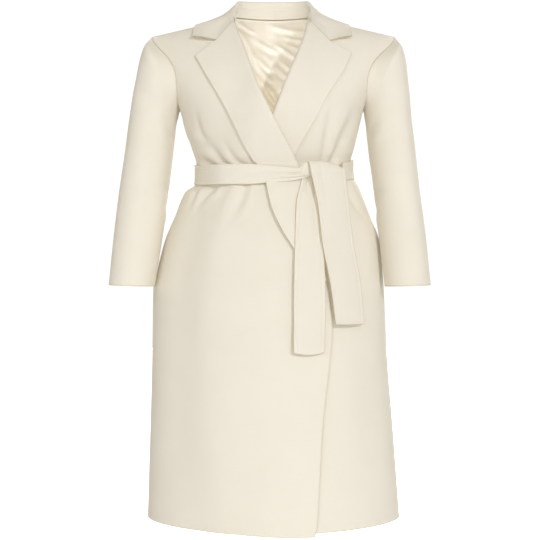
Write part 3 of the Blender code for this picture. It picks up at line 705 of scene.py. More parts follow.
def wool(name, light, deep):
    """Wool crepe: a pebbled fine grain, cloudy nap, a soft sheen, and painted shade along cut
    edges.
    """
    made, tree, add, shader, place = new_material(name)
    cloud = add("ShaderNodeTexNoise", Vector=place, Scale=14.0, Detail=3.0, Roughness=0.55)
    nap = add("ShaderNodeTexNoise", Vector=place, Scale=420.0, Detail=4.0, Roughness=0.65)
    grain = add("ShaderNodeTexVoronoi", Vector=place, Scale=1100.0, Randomness=1.0)
    both = add("ShaderNodeMath")
    both.operation = "MULTIPLY_ADD"
    tree.links.new(nap.outputs["Fac"], both.inputs[0])
    both.inputs[1].default_value = 0.7
    tree.links.new(cloud.outputs["Fac"], both.inputs[2])
    share = add("ShaderNodeMapRange", Value=both.outputs[0], From_Min=0.2, From_Max=1.5)
    colour = mixed(tree, share.outputs[0], deep, light)
    # Painted shade: a dark golden tone, mixed in by the edge attribute, standing in for the thin
    # shadows along the cloth's cut edges
    cut = add("ShaderNodeAttribute")
    cut.attribute_name = "edge"
    colour = mixed(tree, cut.outputs["Fac"], colour, EDGE_PAINTED_SHADE)
    tree.links.new(colour, shader.inputs["Base Color"])
    weave = add("ShaderNodeBump", Height=grain.outputs["Distance"], Strength=0.35, Distance=0.0005)
    soft = add("ShaderNodeBump", Height=nap.outputs["Fac"], Strength=0.35, Distance=0.0007)
    tree.links.new(weave.outputs["Normal"], soft.inputs["Normal"])
    tree.links.new(soft.outputs["Normal"], shader.inputs["Normal"])
    shader.inputs["Roughness"].default_value = 0.88
    shader.inputs["Specular IOR Level"].default_value = 0.25
    shader.inputs["Sheen Weight"].default_value = 0.12
    shader.inputs["Sheen Roughness"].default_value = 0.5
    shader.inputs["Sheen Tint"].default_value = (1.0, 0.96, 0.88, 1.0)
    return made


def satin(name):
    """Lining satin: fine warp lines, a soft gloss, and painted shade that turns it golden at the
    bottom of the neck opening.
    """
    made, tree, add, shader, place = new_material(name)
    cloud = add("ShaderNodeTexNoise", Vector=place, Scale=30.0, Detail=2.0)
    share = add("ShaderNodeMapRange", Value=cloud.outputs["Fac"], From_Min=0.35, From_Max=0.65)
    colour = mixed(tree, share.outputs[0], SATIN_DEEP, SATIN_LIGHT)
    # Painted shade: golden below a height, at the bottom of the neck opening
    height = add("ShaderNodeSeparateXYZ", Vector=place).outputs["Z"]
    below = add("ShaderNodeMapRange", Value=height, From_Min=PAINTED_SHADE_FROM_Z, From_Max=PAINTED_SHADE_FULL_Z)
    colour = mixed(tree, below.outputs[0], colour, SATIN_PAINTED_SHADE)
    tree.links.new(colour, shader.inputs["Base Color"])
    stretch = add("ShaderNodeMapping", Vector=place, Scale=(1.0, 1.0, 0.12))
    warp = add("ShaderNodeTexNoise", Vector=stretch.outputs[0], Scale=1500.0, Detail=2.0)
    bump = add("ShaderNodeBump", Height=warp.outputs["Fac"], Strength=0.15, Distance=0.0002)
    tree.links.new(bump.outputs["Normal"], shader.inputs["Normal"])
    shader.inputs["Roughness"].default_value = 0.34
    shader.inputs["Specular IOR Level"].default_value = 0.55
    return made


wool_cloth = wool("wool_crepe", WOOL_LIGHT, WOOL_DEEP)
belt_cloth = wool("belt_crepe", BELT_LIGHT, BELT_DEEP)
satin_cloth = satin("lining_satin")

# ---- fronts, back and sleeves

# Rows of points, closest where the belt gathers the cloth: start, end and count of each stretch
Rows = namedtuple("Rows", "start end count")
SKIRT_ROWS = (
    Rows(HEM_Z, HEM_Z, 1),
    Rows(HEM_Z + 0.0028, -0.47, 96),
    Rows(-0.466, -0.26, 72),
    Rows(-0.256, ARMPIT_Z, 15),
)
SKIRT = np.concatenate([np.linspace(*row) for row in SKIRT_ROWS]) - ARMPIT_Z
YOKE = np.concatenate([np.linspace(0, 0.955, 42)[1:], [0.972, 0.985, 1.0]])
LEVELS = np.concatenate([SKIRT, YOKE])
ARMPIT_ROW = len(SKIRT) - 1
SEAM_SHARES = np.array([0.0, 0.009, 0.018, 0.03])
PANEL_SHARES = np.concatenate([SEAM_SHARES, np.linspace(0.045, 0.982, 52), [0.992, 1.0]])
BACK_HALF_COLUMNS = 28
EDGE_ROLL_SHARE = 0.7
SLEEVE_ROWS = 120
SLEEVE_FIRST_ROWS = (0.0, 0.12)
SLEEVE_ROWS_FROM = 0.22
CUFF_ROW = 0.035
SLEEVE_GIRTH = 0.3
CREASES_FROM_ROW = 0.3
SEWN_ROWS = 8


def front_grid(side, table, creases):
    x = edge_x(table, LEVELS)
    above = ramp((level_height(x, LEVELS) - BREAK_Z) / ROLL_EASE)
    x = x + side * EDGE_ROLL_SHARE * ROLL_IN * above
    inner = turn_at("front", x, level_height(x, LEVELS))[:, None]
    outer = (side * side_turn("front", LEVELS))[:, None]
    turns = outer * (1 - PANEL_SHARES[None, :]) + inner * PANEL_SHARES[None, :]
    turns, z = level_points("front", turns, LEVELS)
    points = body("front", turns, z)
    flat_x = points[..., 0].copy()
    normals = body_normal("front", turns, z)
    out = -crease_depth(creases, flat_x, z)
    if side < 0:
        out = out + over_lift(flat_x, z)
        corner = ramp((flat_x - CORNER_START_X) / CORNER_RUN_X)
        points[..., 2] -= CORNER_DROP * (corner * ramp((CORNER_TOP_Z - z) / CORNER_RUN_Z))
    return points + normals * out[..., None]


def back_grid(creases):
    side = side_turn("back", LEVELS)[:, None]
    shares = PANEL_SHARES[:BACK_HALF_COLUMNS] / PANEL_SHARES[BACK_HALF_COLUMNS - 1] / 2
    across = np.concatenate([-1 + 2 * shares, (1 - 2 * shares)[-2::-1]])
    turns, z = level_points("back", side * across[None, :], LEVELS)
    points = body("back", turns, z)
    normals = body_normal("back", turns, z)
    out = -crease_depth(creases, points[..., 0], z)
    return points + normals * out[..., None]


def armhole_ring(front, back, side):
    edge = 0 if side < 0 else -1
    front_edge = front[ARMPIT_ROW:, 0][::-1]
    back_edge = back[ARMPIT_ROW:, edge]
    return np.concatenate([front_edge, back_edge[1:-1]])


def sleeve_grid(ring, side, table, creases):
    turn = np.linspace(0, 1, len(ring), endpoint=False)
    angle = 2 * np.pi * turn[:, None]
    power = 2 / SLEEVE_POWER
    rings = [ring]
    for arm in table:
        outer = np.array([side * arm.outer_x, arm.y, arm.outer_z])
        inner = np.array([side * arm.inner_x, arm.y, arm.inner_z])
        reach = np.sign(np.cos(angle)) * np.abs(np.cos(angle)) ** power
        swing = np.sign(np.sin(angle)) * np.abs(np.sin(angle)) ** power
        depth = np.array([0.0, -arm.depth, 0.0])
        rings.append((outer + inner) / 2 + (outer - inner) / 2 * reach + depth * swing)
    last = len(rings) - 1
    main = np.linspace(SLEEVE_ROWS_FROM, last - CUFF_ROW, SLEEVE_ROWS)
    at = np.concatenate([SLEEVE_FIRST_ROWS, main, [last]])
    grid = through(np.arange(last + 1), rings, at)
    normals = outward(grid, around=True)
    wrap = np.broadcast_to(turn[None, :], grid.shape[:2])
    scaled = [c._replace(x0=c.x0 * SLEEVE_GIRTH, x1=c.x1 * SLEEVE_GIRTH) for c in creases]
    from_cuff = np.linalg.norm(grid - grid[-1:], axis=-1)
    out = -crease_depth(scaled, wrap * SLEEVE_GIRTH, grid[..., 2]) - stitch_groove(from_cuff)
    keep = ramp(at - CREASES_FROM_ROW)[:, None]
    return grid + normals * (out * keep)[..., None]


front_right = front_grid(-1, OVER_EDGE, FRONT_RIGHT_CREASES)
front_left = front_grid(1, UNDER_EDGE, FRONT_LEFT_CREASES)
back = back_grid(BACK_CREASES)
pieces = {}
for name, grid in (("front_right", front_right), ("front_left", front_left), ("back", back)):
    pieces[name] = shell(name + "_cloth", grid, outward(grid), CLOTH, wool_cloth)
for side, name, front, table, creases in (
    (-1, "sleeve_right", front_right, SLEEVE_RIGHT, SLEEVE_RIGHT_CREASES),
    (1, "sleeve_left", front_left, SLEEVE_LEFT, SLEEVE_LEFT_CREASES),
):
    grid = sleeve_grid(armhole_ring(front, back, side), side, table, creases)
    normals = outward(grid, True)
    sewn = armhole_ring(outward(front), outward(back), side)
    share = (1 - ramp(np.arange(len(grid)) / SEWN_ROWS))[:, None, None]
    normals = unit(normals * (1 - share) + sewn * share)
    pieces[name] = shell(name + "_cloth", grid, normals, CLOTH, wool_cloth, True)

# ---- lining

LINING_LOW_ROWS = 50
LINING_HIGH_ROWS = 90
LINING_COLUMNS = 170
lower = np.linspace(LINING_END_Z, ARMPIT_Z, LINING_LOW_ROWS)[:-1] - ARMPIT_Z
level = np.concatenate([lower, np.linspace(0, 1, LINING_HIGH_ROWS)])
side = side_turn("back", level)[:, None]
across = np.linspace(-LINING_REACH, LINING_REACH, LINING_COLUMNS)[None, :]
turns, z = level_points("back", side * across, level)
lining = body("back", turns, z)
hollows = crease_depth(LINING_CREASES, lining[..., 0], lining[..., 2])
loose = LINING_IN + LINING_EASE * (1 + ramp(-z / LINING_EASE_RUN)) - hollows
# Folds flatten where they would press on the back's wall, which has creases of its own
wall = CLOTH + LINING_CLEAR + np.maximum(crease_depth(BACK_CREASES, lining[..., 0], z), 0)
inward = wall + LINING_PRESS * np.logaddexp(0, (loose - wall) / LINING_PRESS)
lining = lining - body_normal("back", turns, z) * inward[..., None]
lining[-1, :, 2] += LINING_TOP_RISE
pieces["back_lining"] = shell(
    "back_lining_satin", lining, outward(lining), SATIN, satin_cloth)

# ---- lapels

GORGE_COLUMNS = 15
LAPEL_ROWS = np.concatenate([[0.0, 0.004], np.linspace(0.01, 0.992, 118), [1.0]])
LAPEL_ACROSS = np.concatenate([
    np.linspace(0, NOTCH_SHARE, GORGE_COLUMNS), np.linspace(NOTCH_SHARE, 0.985, 17)[1:], [1.0]
])
OUTER_END_RISE = 0.004
NOTCH_FADE = 0.12
# The lapel lies close to the front at its lower end, and lifts a little below the belt
LAPEL_LOW_OUT = 0.0025
LAPEL_LOW_RUN = 0.25
RISE_FROM = 0.42
RISE_RUN = 0.22
RISE_END_RUN = 0.12
RISE_POWER = 1.5
LAPEL_BENDS = np.radians(np.linspace(15, 180, 12))
FACING_STEPS = (0.33, 0.66, 1.0)


def lapel_outline(edge, lapel, notch):
    t = LAPEL_ROWS[:, None]
    share = LAPEL_ACROSS[None, :]
    roll_z = GORGE_Z + (LAPEL_END_Z - GORGE_Z) * t
    tip_z = lapel[-1].z
    outer_z = tip_z + (LAPEL_END_Z + OUTER_END_RISE - tip_z) * t
    roll_x = column(edge, "x", roll_z)
    outer_x = column(lapel, "x", outer_z)
    outwards = np.sign(outer_x[0] - roll_x[0])
    roll_x = roll_x + outwards * ROLL_IN * ramp((roll_z - BREAK_Z) / ROLL_EASE)
    x = roll_x * (1 - share) + outer_x * share
    z = roll_z * (1 - share) + outer_z * share
    tent = np.minimum(share / NOTCH_SHARE, (1 - share) / (1 - NOTCH_SHARE))
    fade = np.clip(1 - t / NOTCH_FADE, 0, 1) ** 2
    straight_x = roll_x[0] * (1 - NOTCH_SHARE) + outer_x[0] * NOTCH_SHARE
    straight_z = roll_z[0] * (1 - NOTCH_SHARE) + outer_z[0] * NOTCH_SHARE
    x = x + (notch.x - straight_x) * tent * fade
    z = z + (notch.z - straight_z) * tent * fade
    return x, z


def lapel_piece(name, edge, lapel, notch, lift, low_rise):
    """One lapel with its bend and facing. Returns its top row, which the collar is sewn along."""
    x, z = lapel_outline(edge, lapel, notch)
    t = LAPEL_ROWS[:, None]
    centre = -CLOTH / 2
    above = LAPEL_LOW_OUT + (LAPEL_OUT - LAPEL_LOW_OUT) * ramp((1 - t) / LAPEL_LOW_RUN)
    radius = (above - centre)[..., None]
    roll_x, roll_z = x[:, :1], z[:, :1]
    share = LAPEL_ACROSS[None, :]
    edge_run = np.stack([x, z], axis=-1)
    from_edge = np.linalg.norm(edge_run - edge_run[:, -1:], axis=-1)
    from_top = np.linalg.norm(edge_run - edge_run[:1], axis=-1)
    near = np.minimum(from_edge, np.where(share > NOTCH_SHARE, from_top, 1.0))
    rise = low_rise * ramp((t - RISE_FROM) / RISE_RUN) * ramp((1.0 - t) / RISE_END_RUN)
    out = lift(x, z) + above + rise * share**RISE_POWER - stitch_groove(near, LAPEL_STITCH)
    flat = lay("front", x, z, out)[:, ::-1]
    normal = body_normal("front", turn_at("front", roll_x, roll_z), roll_z)
    along = np.gradient(lay("front", roll_x, roll_z, 0 * roll_x)[:, 0], axis=0)[:, None]
    out_of_edge = unit(np.cross(normal, along))
    out_of_edge *= np.sign((out_of_edge * (flat[:, -1:] - flat[:, :1])).sum())
    middle = lay("front", roll_x, roll_z, lift(roll_x, roll_z) + centre)
    bends = [
        middle + normal * radius * np.cos(a) + out_of_edge * radius * np.sin(a)
        for a in LAPEL_BENDS
    ]
    taper = 1 - (1 - FACING_TAPER) * t[..., None]
    facing = [bends[-1] - out_of_edge * FACING_WIDTH * taper * k for k in FACING_STEPS]
    grid = np.concatenate([flat, *bends, *facing], axis=1)
    normals = grid_normals(grid)
    if (normals[:, 0] * normal[:, 0]).sum() < 0:
        normals = -normals
    pieces[name] = shell(name + "_cloth", grid, normals, CLOTH, wool_cloth)
    return flat[0, ::-1]


LAPEL_LOW_RISE = 0.005
gorge_right = lapel_piece(
    "lapel_right", OVER_EDGE, OVER_LAPEL, OVER_NOTCH, over_lift, LAPEL_LOW_RISE)
gorge_left = lapel_piece(
    "lapel_left", UNDER_EDGE, UNDER_LAPEL, UNDER_NOTCH, lambda x, z: 0 * x, 0.0)

# ---- collar, stand to leaf in one

COLLAR_COLUMNS = 161
COLUMN_POWER = 0.85
EVEN = np.linspace(-1, 1, COLLAR_COLUMNS)
STATIONS = np.sign(EVEN) * np.abs(EVEN) ** COLUMN_POWER
STAND_ROWS = 26
LEAF_ROWS = 41
SHOULDER_SEAM_SHARE = 0.72
# Towards its ends the leaf goes straight, follows the lapel's top edge, and leaves it at the notch
STRAIGHT_FROM = 0.8
FOLLOW_FROM = 0.74
NOTCH_EASE = 0.3
STAND_FOOT = 0.001
STAND_IN, STAND_DOWN = 0.0052, 0.004
CREST_IN, CREST_DOWN = 0.0026, 0.0006
END_CLOSES = 0.1
NECK_CENTRE_Y = 0.01
FREE_FROM_ROW = 46
# The seam line pressed into the stand
STAND_LINE_ROW = 17
STAND_LINE_ROWS = 0.8
STAND_LINE_DEPTH = 0.0012


def collar_point(kind, share):
    away = np.abs(share)
    x, y, z = (column(COLLAR, kind + axis, away) for axis in ("_x", "_y", "_z"))
    return np.stack([np.sign(share) * x + column(COLLAR, "shift", away), y, z], axis=-1)


def neck_seam(share):
    """The collar's foot: along the back's neck, then down the fronts' edges to the gorges."""
    at = np.clip(np.abs(share) / SHOULDER_SEAM_SHARE, 0, 1)
    x = np.sign(share) * NECK_HALF * np.sin(at * np.pi / 2)
    z = level_height(x, np.ones_like(x))
    behind = body("back", turn_at("back", x, z), z)
    down = np.clip((np.abs(share) - SHOULDER_SEAM_SHARE) / (1 - SHOULDER_SEAM_SHARE), 0, 1)
    over, under = (column(table, "x", GORGE_Z * down) for table in (OVER_EDGE, UNDER_EDGE))
    edges = np.where(share < 0, over, under)
    front = lay("front", edges, GORGE_Z * down, 0 * down)
    return np.where((down > 0)[:, None], front, behind)


fold, mid, edge = (collar_point(kind, STATIONS) for kind in ("fold", "mid", "edge"))
leaf_shares = np.linspace(0, 1, LEAF_ROWS)
curved = through([0.0, 0.5, 1.0], [fold, mid, edge], leaf_shares)
straight = np.stack([
    fold + (mid - fold) * share * 2 if share < 0.5 else mid + (edge - mid) * (share - 0.5) * 2
    for share in leaf_shares
])
to_gorge = ramp((np.abs(STATIONS) - STRAIGHT_FROM) / (1 - STRAIGHT_FROM))[None, :, None]
leaf = curved * (1 - to_gorge) + straight * to_gorge
for end, sign, gorge in ((0, -1, gorge_right), (-1, 1, gorge_left)):
    on_gorge = np.linspace(0, 1, GORGE_COLUMNS)
    seam = through(on_gorge, gorge[:GORGE_COLUMNS], np.clip(leaf_shares * 2, 0, 1))
    shift = seam - leaf[:, end]
    fade = (1 - ramp((leaf_shares - 0.5) / NOTCH_EASE))[:, None]
    shift = np.where((leaf_shares <= 0.5)[:, None], shift, shift[LEAF_ROWS // 2] * fade)
    near = ramp((np.abs(STATIONS) - FOLLOW_FROM) / (1 - FOLLOW_FROM)) * (np.sign(STATIONS) == sign)
    leaf = leaf + shift[:, None] * near[None, :, None]
foot = neck_seam(STATIONS)
inward = unit((np.array([0.0, NECK_CENTRE_Y, 0.0]) - leaf[0]) * np.array([1, 1, 0]))
down = np.array([0, 0, 1.0])
closing = np.clip(1.0 - np.abs(STATIONS), 0, 1)[:, None]
depth = ramp(closing / END_CLOSES)
stand_top = leaf[0] + inward * STAND_IN * depth - down * STAND_DOWN * depth
stand_ends = [foot + np.array([0, 0, STAND_FOOT]), stand_top]
stand = through([0.0, 1.0], stand_ends, np.linspace(0, 1, STAND_ROWS))
crest = leaf[0] + inward * CREST_IN * depth - down * CREST_DOWN * depth
collar = np.concatenate([stand, crest[None], leaf])
normals = grid_normals(collar)
if normals[STAND_ROWS + 4:, :, 2].sum() < 0:
    normals = -normals
from_edge = np.linalg.norm(collar - collar[-1:], axis=-1)
ends = (collar[:, :1], collar[:, -1:])
from_end = np.minimum(*(np.linalg.norm(collar - end, axis=-1) for end in ends))
row = np.arange(len(collar))[:, None]
near = np.minimum(from_edge, np.where(row > FREE_FROM_ROW, from_end, 1.0))
stand_line = STAND_LINE_DEPTH * np.exp(-(((row - STAND_LINE_ROW) / STAND_LINE_ROWS) ** 2))
pressed = stitch_groove(near, COLLAR_STITCH) + stand_line * (row < STAND_ROWS)
collar = collar - normals * pressed[..., None]
pieces["collar"] = shell("collar_cloth", collar, normals, CLOTH, wool_cloth)

# ---- belt

# The band's height along its length, from under the knot round the back to the other side
Belt = namedtuple("Belt", "share height")
BELT_SHAPE = (
    Belt(0.0, 0.009),
    Belt(0.02, 0.022),
    Belt(0.055, 0.032),
    Belt(0.12, 0.041),
    Belt(0.85, 0.041),
    Belt(1.0, 0.038),
)
# Soft folds that run along a piece: place and width as shares of the piece's width, and depth
Fold = namedtuple("Fold", "place width depth")
BELT_GATHERS = (
    Fold(0.02, 0.055, 0.003),
    Fold(-0.14, 0.07, -0.0016),
    Fold(-0.3, 0.05, 0.0024),
    Fold(0.22, 0.09, -0.0014),
)
BELT_STARTS_X = 0.068
FINE_SHARE = 0.25
FINE_COLUMNS = 130
PLAIN_COLUMNS = 150
BELT_ROWS = 45
BELT_FLATTER = 0.6
GATHER_RUN = 0.14


def fold_depth(folds, across):
    return sum(f.depth * np.exp(-(((across - f.place) / f.width) ** 2)) for f in folds)


start = turn_at("front", BELT_STARTS_X, CINCH_Z)
end = turn_at("front", BELT_ENDS_X, CINCH_Z)
fine = np.linspace(0, FINE_SHARE, FINE_COLUMNS)[:-1]
share = np.concatenate([fine, np.linspace(FINE_SHARE, 1, PLAIN_COLUMNS)])
way = share * (start + 1 + 2 + 1 - end)
back_from, back_to = start + 1, start + 3
turn = np.where(way < back_to, way - back_from - 1, 1 - (way - back_to))
turn = np.where(way <= back_from, start - way, turn)
on_front = (way <= back_from) | (way >= back_to)
middle = np.where(on_front, column(WAIST, "front", turn), column(WAIST, "back", turn))
across = np.linspace(-0.5, 0.5, BELT_ROWS)[:, None]
z = middle + column(BELT_SHAPE, "height", share) * across
front = np.broadcast_to(on_front, z.shape)
turns = np.broadcast_to(turn, z.shape)
centre_z = np.broadcast_to(middle, z.shape)
flat_base = np.where(on_front[:, None], body("front", turn, middle), body("back", turn, middle))
base = np.where(front[..., None], body("front", turns, z), body("back", turns, z))
normal_front, normal_back = (body_normal(half, turns, centre_z) for half in ("front", "back"))
normal = np.where(front[..., None], normal_front, normal_back)
normal[..., 2] = 0
normal = unit(normal)
over = front * 1.0
for begin, full in BELT_RISES:
    over = over * ramp((base[..., 0] - begin) / (full - begin))
out = BELT_OUT + (OVERLAP_OUT - BELT_OUT) * over
# Most of the body's own curve under the belt is taken off, so that the band is nearly flat across
level_out = ((base - flat_base[None]) * normal).sum(axis=-1)
out = out - BELT_FLATTER * level_out
near_knot = 1 - ramp(share / GATHER_RUN)
out = out - fold_depth(BELT_GATHERS, across) * near_knot[None, :]
from_edge = (0.5 - np.abs(across)) * column(BELT_SHAPE, "height", share)[None, :]
out = out - stitch_groove(from_edge, BELT_STITCH) * (1 - near_knot[None, :])
grid = base + normal * out[..., None]
pieces["belt"] = shell("belt_band", grid, normal, BELT_CLOTH, belt_cloth)

# ---- tails and knot

Tail = namedtuple("Tail", "z left right left_out right_out")
LEFT_SHAPE = table_mm(
    Tail,
    (-694, 35, 94.5, 21.5, 16.5),
    (-600, 35, 94.5, 24.5, 23.5),
    (-500, 37.5, 92.5, 25, 24),
    (-410, 41, 89, 25.2, 24),
    (-342, 53, 80, 20.5, 19),
)
RIGHT_SHAPE = table_mm(
    Tail,
    (-640, 111.5, 173, 25, 15),
    (-565, 101.5, 166, 28.5, 16),
    (-478, 86, 151, 31, 17.5),
    (-416, 79, 142.5, 33.5, 20),
    (-334, 63.5, 128.5, 39, 28),
)


TAIL_COLUMNS = 56
TAIL_EDGE_SHARES = np.array([0.0, 0.03])
SAG_RUN = 0.05


def hanging(table, count, sag):
    """A tail's outer points, stretched between the table's heights, with normals and shares."""
    keys = np.array([row.z for row in table])
    middle = np.linspace(0.05, 0.95, TAIL_COLUMNS)
    share = np.concatenate([TAIL_EDGE_SHARES, middle, 1 - TAIL_EDGE_SHARES[::-1]])
    left = np.array([[row.left, row.left_out] for row in table])
    right = np.array([[row.right, row.right_out] for row in table])
    at = share[None, :, None]
    both = left[:, None] * (1 - at) + right[:, None] * at
    held = lay("front", both[..., 0], keys[:, None], both[..., 1])
    z = np.linspace(keys[0], keys[-1], count)
    grid = through(keys, held, z)
    normals = grid_normals(grid)
    normals = normals * -np.sign(normals[..., 1].sum())
    from_end = (z - keys[0])[:, None]
    width = (column(table, "right", z) - column(table, "left", z))[:, None]
    edge = np.minimum(np.minimum(share, 1 - share)[None, :] * width, from_end)
    grid = grid - normals * stitch_groove(edge)[..., None]
    grid[..., 2] -= sag * np.sin(np.pi * share)[None, :] * (1 - ramp(from_end / SAG_RUN))
    return grid, normals, z[:, None], share[None, :]


# The left tail is pinched where it comes out of the knot, and keeps a long soft fold below
LEFT_ROWS = 150
LEFT_SAG = 0.0045
LEFT_PINCH = (Fold(0.4, 0.09, 0.0032), Fold(0.66, 0.12, -0.0022))
LEFT_PINCH_Z, LEFT_PINCH_RUN = -0.4, 0.045
LEFT_FOLD = (Fold(0.72, 0.14, 0.0016),)
LEFT_FOLD_Z, LEFT_FOLD_RUN = -0.56, 0.12
grid, normals, z, share = hanging(LEFT_SHAPE, LEFT_ROWS, LEFT_SAG)
folds = fold_depth(LEFT_PINCH, share) * ramp((z - LEFT_PINCH_Z) / LEFT_PINCH_RUN)
folds = folds + fold_depth(LEFT_FOLD, share) * ramp((z - LEFT_FOLD_Z) / LEFT_FOLD_RUN)
grid = grid - normals * folds[..., None]
pieces["belt_tail_left"] = shell(
    "belt_tail_left_cloth", grid, normals, BELT_CLOTH, belt_cloth, bulge=0.8)

# The right tail rolls over the belt: how high and how deep, across its width, and its end behind
Crown = namedtuple("Crown", "share height depth")
CROWN = (
    Crown(0.0, 0.02, 0.01),
    Crown(0.35, 0.0215, 0.01),
    Crown(0.7, 0.0175, 0.01),
    Crown(1.0, 0.005, 0.0055),
)
RIGHT_ROWS = 120
RIGHT_SAG = 0.0008
RIGHT_FOLD = (Fold(0.3, 0.1, 0.0014),)
RIGHT_FOLD_Z, RIGHT_FOLD_RUN = -0.45, 0.1
CROWN_LEAN = -0.002
CROWN_BENDS = np.radians(np.linspace(6, 172, 24))
BEHIND = np.array([-0.006, 0.001, -0.016])
grid, normals, z, share = hanging(RIGHT_SHAPE, RIGHT_ROWS, RIGHT_SAG)
folds = fold_depth(RIGHT_FOLD, share) * ramp((z - RIGHT_FOLD_Z) / RIGHT_FOLD_RUN)
hang = grid - normals * folds[..., None]
top, up = hang[-1], np.array([0, 0, 1.0])
facing = normals[-1] * np.array([1, 1, 0])
across = share[0]
crown, crown_depth = (column(CROWN, name, across)[:, None] for name in ("height", "depth"))
lean = np.stack([CROWN_LEAN * (1 - across), 0 * across, 0 * across], axis=-1)
roll = [
    top - facing * crown_depth * (1 - np.cos(a)) + (up * crown + lean) * np.sin(a)
    for a in CROWN_BENDS
]
behind = [roll[-1] * (1 - k) + (roll[-1] + BEHIND) * k for k in FACING_STEPS]
grid = np.concatenate([hang, np.stack(roll), np.stack(behind)])
normals = grid_normals(grid)
if normals[:RIGHT_ROWS, :, 1].sum() > 0:
    normals = -normals
pieces["belt_tail_right"] = shell(
    "belt_tail_right_cloth", grid, normals, BELT_CLOTH, belt_cloth, bulge=0.8)

Knot = namedtuple("Knot", "x z height thickness out")
KNOT_SHAPE = table_mm(
    Knot,
    (43, -335, 8, 3, 21.5),
    (48, -332.5, 16, 6, 23),
    (56, -330, 26, 9, 25),
    (66, -329, 30, 10, 25),
    (85, -331, 30, 10, 24),
    (105, -333, 28, 8, 20),
    (120, -333, 22, 5, 16),
)
KNOT_RINGS = 60
KNOT_POINTS = 48
# Folds wind round the back of the knot: their depth as a share, number and twist
KNOT_FOLD, KNOT_FOLDS, KNOT_TWIST, KNOT_FOLDS_FROM = 0.16, 5, 40, 0.3
angle = np.linspace(0, 2 * np.pi, KNOT_POINTS, endpoint=False)
rings = []
for x in np.linspace(KNOT_SHAPE[0].x, KNOT_SHAPE[-1].x, KNOT_RINGS):
    z, height, thickness, out = (float(column(KNOT_SHAPE, f, x)) for f in Knot._fields[1:])
    centre = lay("front", np.array(x), np.array(z), np.array(out))
    ring = np.repeat(centre[None], KNOT_POINTS, axis=0)
    folded = np.cos(KNOT_FOLDS * angle + KNOT_TWIST * x) * (np.cos(angle) < KNOT_FOLDS_FROM)
    ring[:, 1] -= np.cos(angle) * thickness / 2 * (1 + KNOT_FOLD * folded)
    ring[:, 2] += np.sin(angle) * height / 2
    rings.append(ring)
index = np.arange(KNOT_RINGS * KNOT_POINTS).reshape(KNOT_RINGS, KNOT_POINTS)
near = np.roll(index, -1, axis=1)
corners = (index[:-1], near[:-1], near[1:], index[1:])
faces = np.stack([corner.ravel() for corner in corners], axis=1).tolist()
faces += [index[0, ::-1].tolist(), index[-1].tolist()]
pieces["belt_knot"] = make_piece(
    "belt_knot_cloth", np.concatenate(rings), faces, belt_cloth)

# ---- what stands for what

for node, piece in pieces.items():
    if node == "collar":
        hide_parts("collar_fall", "collar_stand")
    else:
        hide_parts(node)

# What shows of each cut, in metres and square metres; a sleeve's width is all round
Cut = namedtuple("Cut", "node width length area held rests_on")

# ---- floor, light and camera

FLOOR_Z = -1.45
FLOOR_REACH = 12.0
FLOOR_GLOW = 0.1
FLOOR_SEEN = 0.9
SKY_LIGHT = 0.35
SKY_WARM = (1.0, 0.94, 0.85, 1)
SKY_SEEN = 1.05


def seen_or_not(tree, unseen, seen, strength):
    """A strength for what lights the coat, and another for what shows as the plain background."""
    ray = tree.nodes.new("ShaderNodeLightPath").outputs["Is Camera Ray"]
    chosen = tree.nodes.new("ShaderNodeMapRange")
    tree.links.new(ray, chosen.inputs["Value"])
    chosen.inputs["To Min"].default_value = unseen
    chosen.inputs["To Max"].default_value = seen
    tree.links.new(chosen.outputs[0], strength)
    return ray


floor_mesh = bpy.data.meshes.new("floor")
corners = ((-1, -1), (1, -1), (1, 1), (-1, 1))
floor_mesh.from_pydata(
    [(x * FLOOR_REACH, y * FLOOR_REACH, FLOOR_Z) for x, y in corners], [], [(0, 1, 2, 3)])
floor = bpy.data.objects.new("floor", floor_mesh)
bpy.context.scene.collection.objects.link(floor)
pale = bpy.data.materials.new("floor_pale")
pale.use_nodes = True
pale_shader = pale.node_tree.nodes["Principled BSDF"]
pale_shader.inputs["Base Color"].default_value = (0.92, 0.92, 0.92, 1)
pale_shader.inputs["Roughness"].default_value = 0.9
pale_shader.inputs["Emission Color"].default_value = (1, 1, 1, 1)
seen_or_not(pale.node_tree, FLOOR_GLOW, FLOOR_SEEN, pale_shader.inputs["Emission Strength"])
floor_mesh.materials.append(pale)

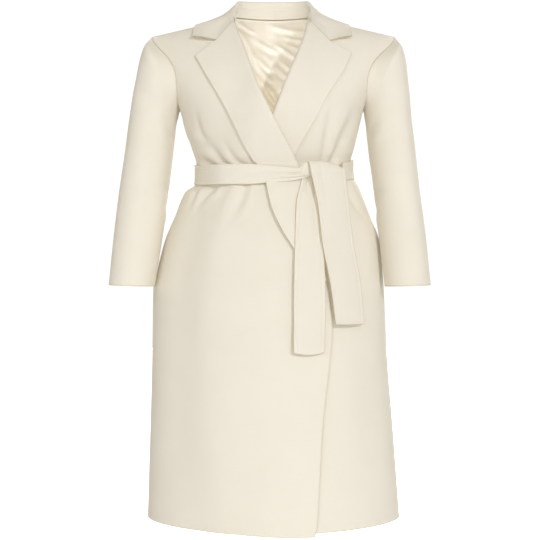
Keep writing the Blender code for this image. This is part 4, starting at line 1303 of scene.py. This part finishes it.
bpy.context.scene.view_settings.view_transform = "Standard"
world = bpy.data.worlds.new("studio")
bpy.context.scene.world = world
world.use_nodes = True
sky = world.node_tree.nodes["Background"]
ray = seen_or_not(world.node_tree, SKY_LIGHT, SKY_SEEN, sky.inputs["Strength"])
tone = mixed(world.node_tree, ray, SKY_WARM, (1, 1, 1, 1))
world.node_tree.links.new(tone, sky.inputs["Color"])


def lamp(name, place, power, spread, colour, aim=(0, 0, -0.5)):
    """A sun from a place towards the coat's middle, with its spread in degrees."""
    data = bpy.data.lights.new(name, "SUN")
    data.energy = power
    data.angle = np.radians(spread)
    data.color = colour
    made = bpy.data.objects.new(name, data)
    bpy.context.scene.collection.objects.link(made)
    made.location = place
    made.rotation_euler = (Vector(aim) - Vector(place)).to_track_quat("-Z", "Y").to_euler()
    return made


COOL = (0.97, 1.0, 1.06)
WARM = (1.0, 0.965, 0.9)
lamp("key", (0.95, -2.2, 0.3), 1.08, 2.2, (0.98, 1.0, 1.04))
lamp("front_fill", (-0.9, -2.2, 0.6), 0.24, 24, COOL)
lamp("back_fill", (0.9, 2.4, 0.5), 1.6, 12, COOL)
for name, place, power in (
    ("flat_fill", (-0.4, -2.4, 0.5), 0.72),
    ("right_fill", (-2.4, -0.8, 0.2), 0.14),
    ("left_fill", (2.4, -0.8, 0.2), 0.2),
):
    lamp(name, place, power, 24, WARM).data.use_shadow = False

inside = bpy.data.lights.new("neck_light", "AREA")
inside.energy = 0.085
inside.size = 0.1
inside.color = (1.0, 0.97, 0.9)
neck_light = bpy.data.objects.new("neck_light", inside)
bpy.context.scene.collection.objects.link(neck_light)
neck_light.location = (0.01, -0.075, -0.1)
neck_light.rotation_euler = Vector((0, 0.17, -0.03)).to_track_quat("-Z", "Y").to_euler()
neck_light.visible_camera = False

CAMERA_DISTANCE = 2.6
VIEW_WIDTH = 1.134
SENSOR = 36.0
camera_data = bpy.data.cameras.new("camera")
camera_data.sensor_width = SENSOR
camera_data.lens = SENSOR * CAMERA_DISTANCE / VIEW_WIDTH
camera = bpy.data.objects.new("camera", camera_data)
bpy.context.scene.collection.objects.link(camera)
camera.location = (-0.007, -CAMERA_DISTANCE, -0.531)
camera.rotation_euler = (np.radians(90), 0, 0)
bpy.context.scene.camera = camera
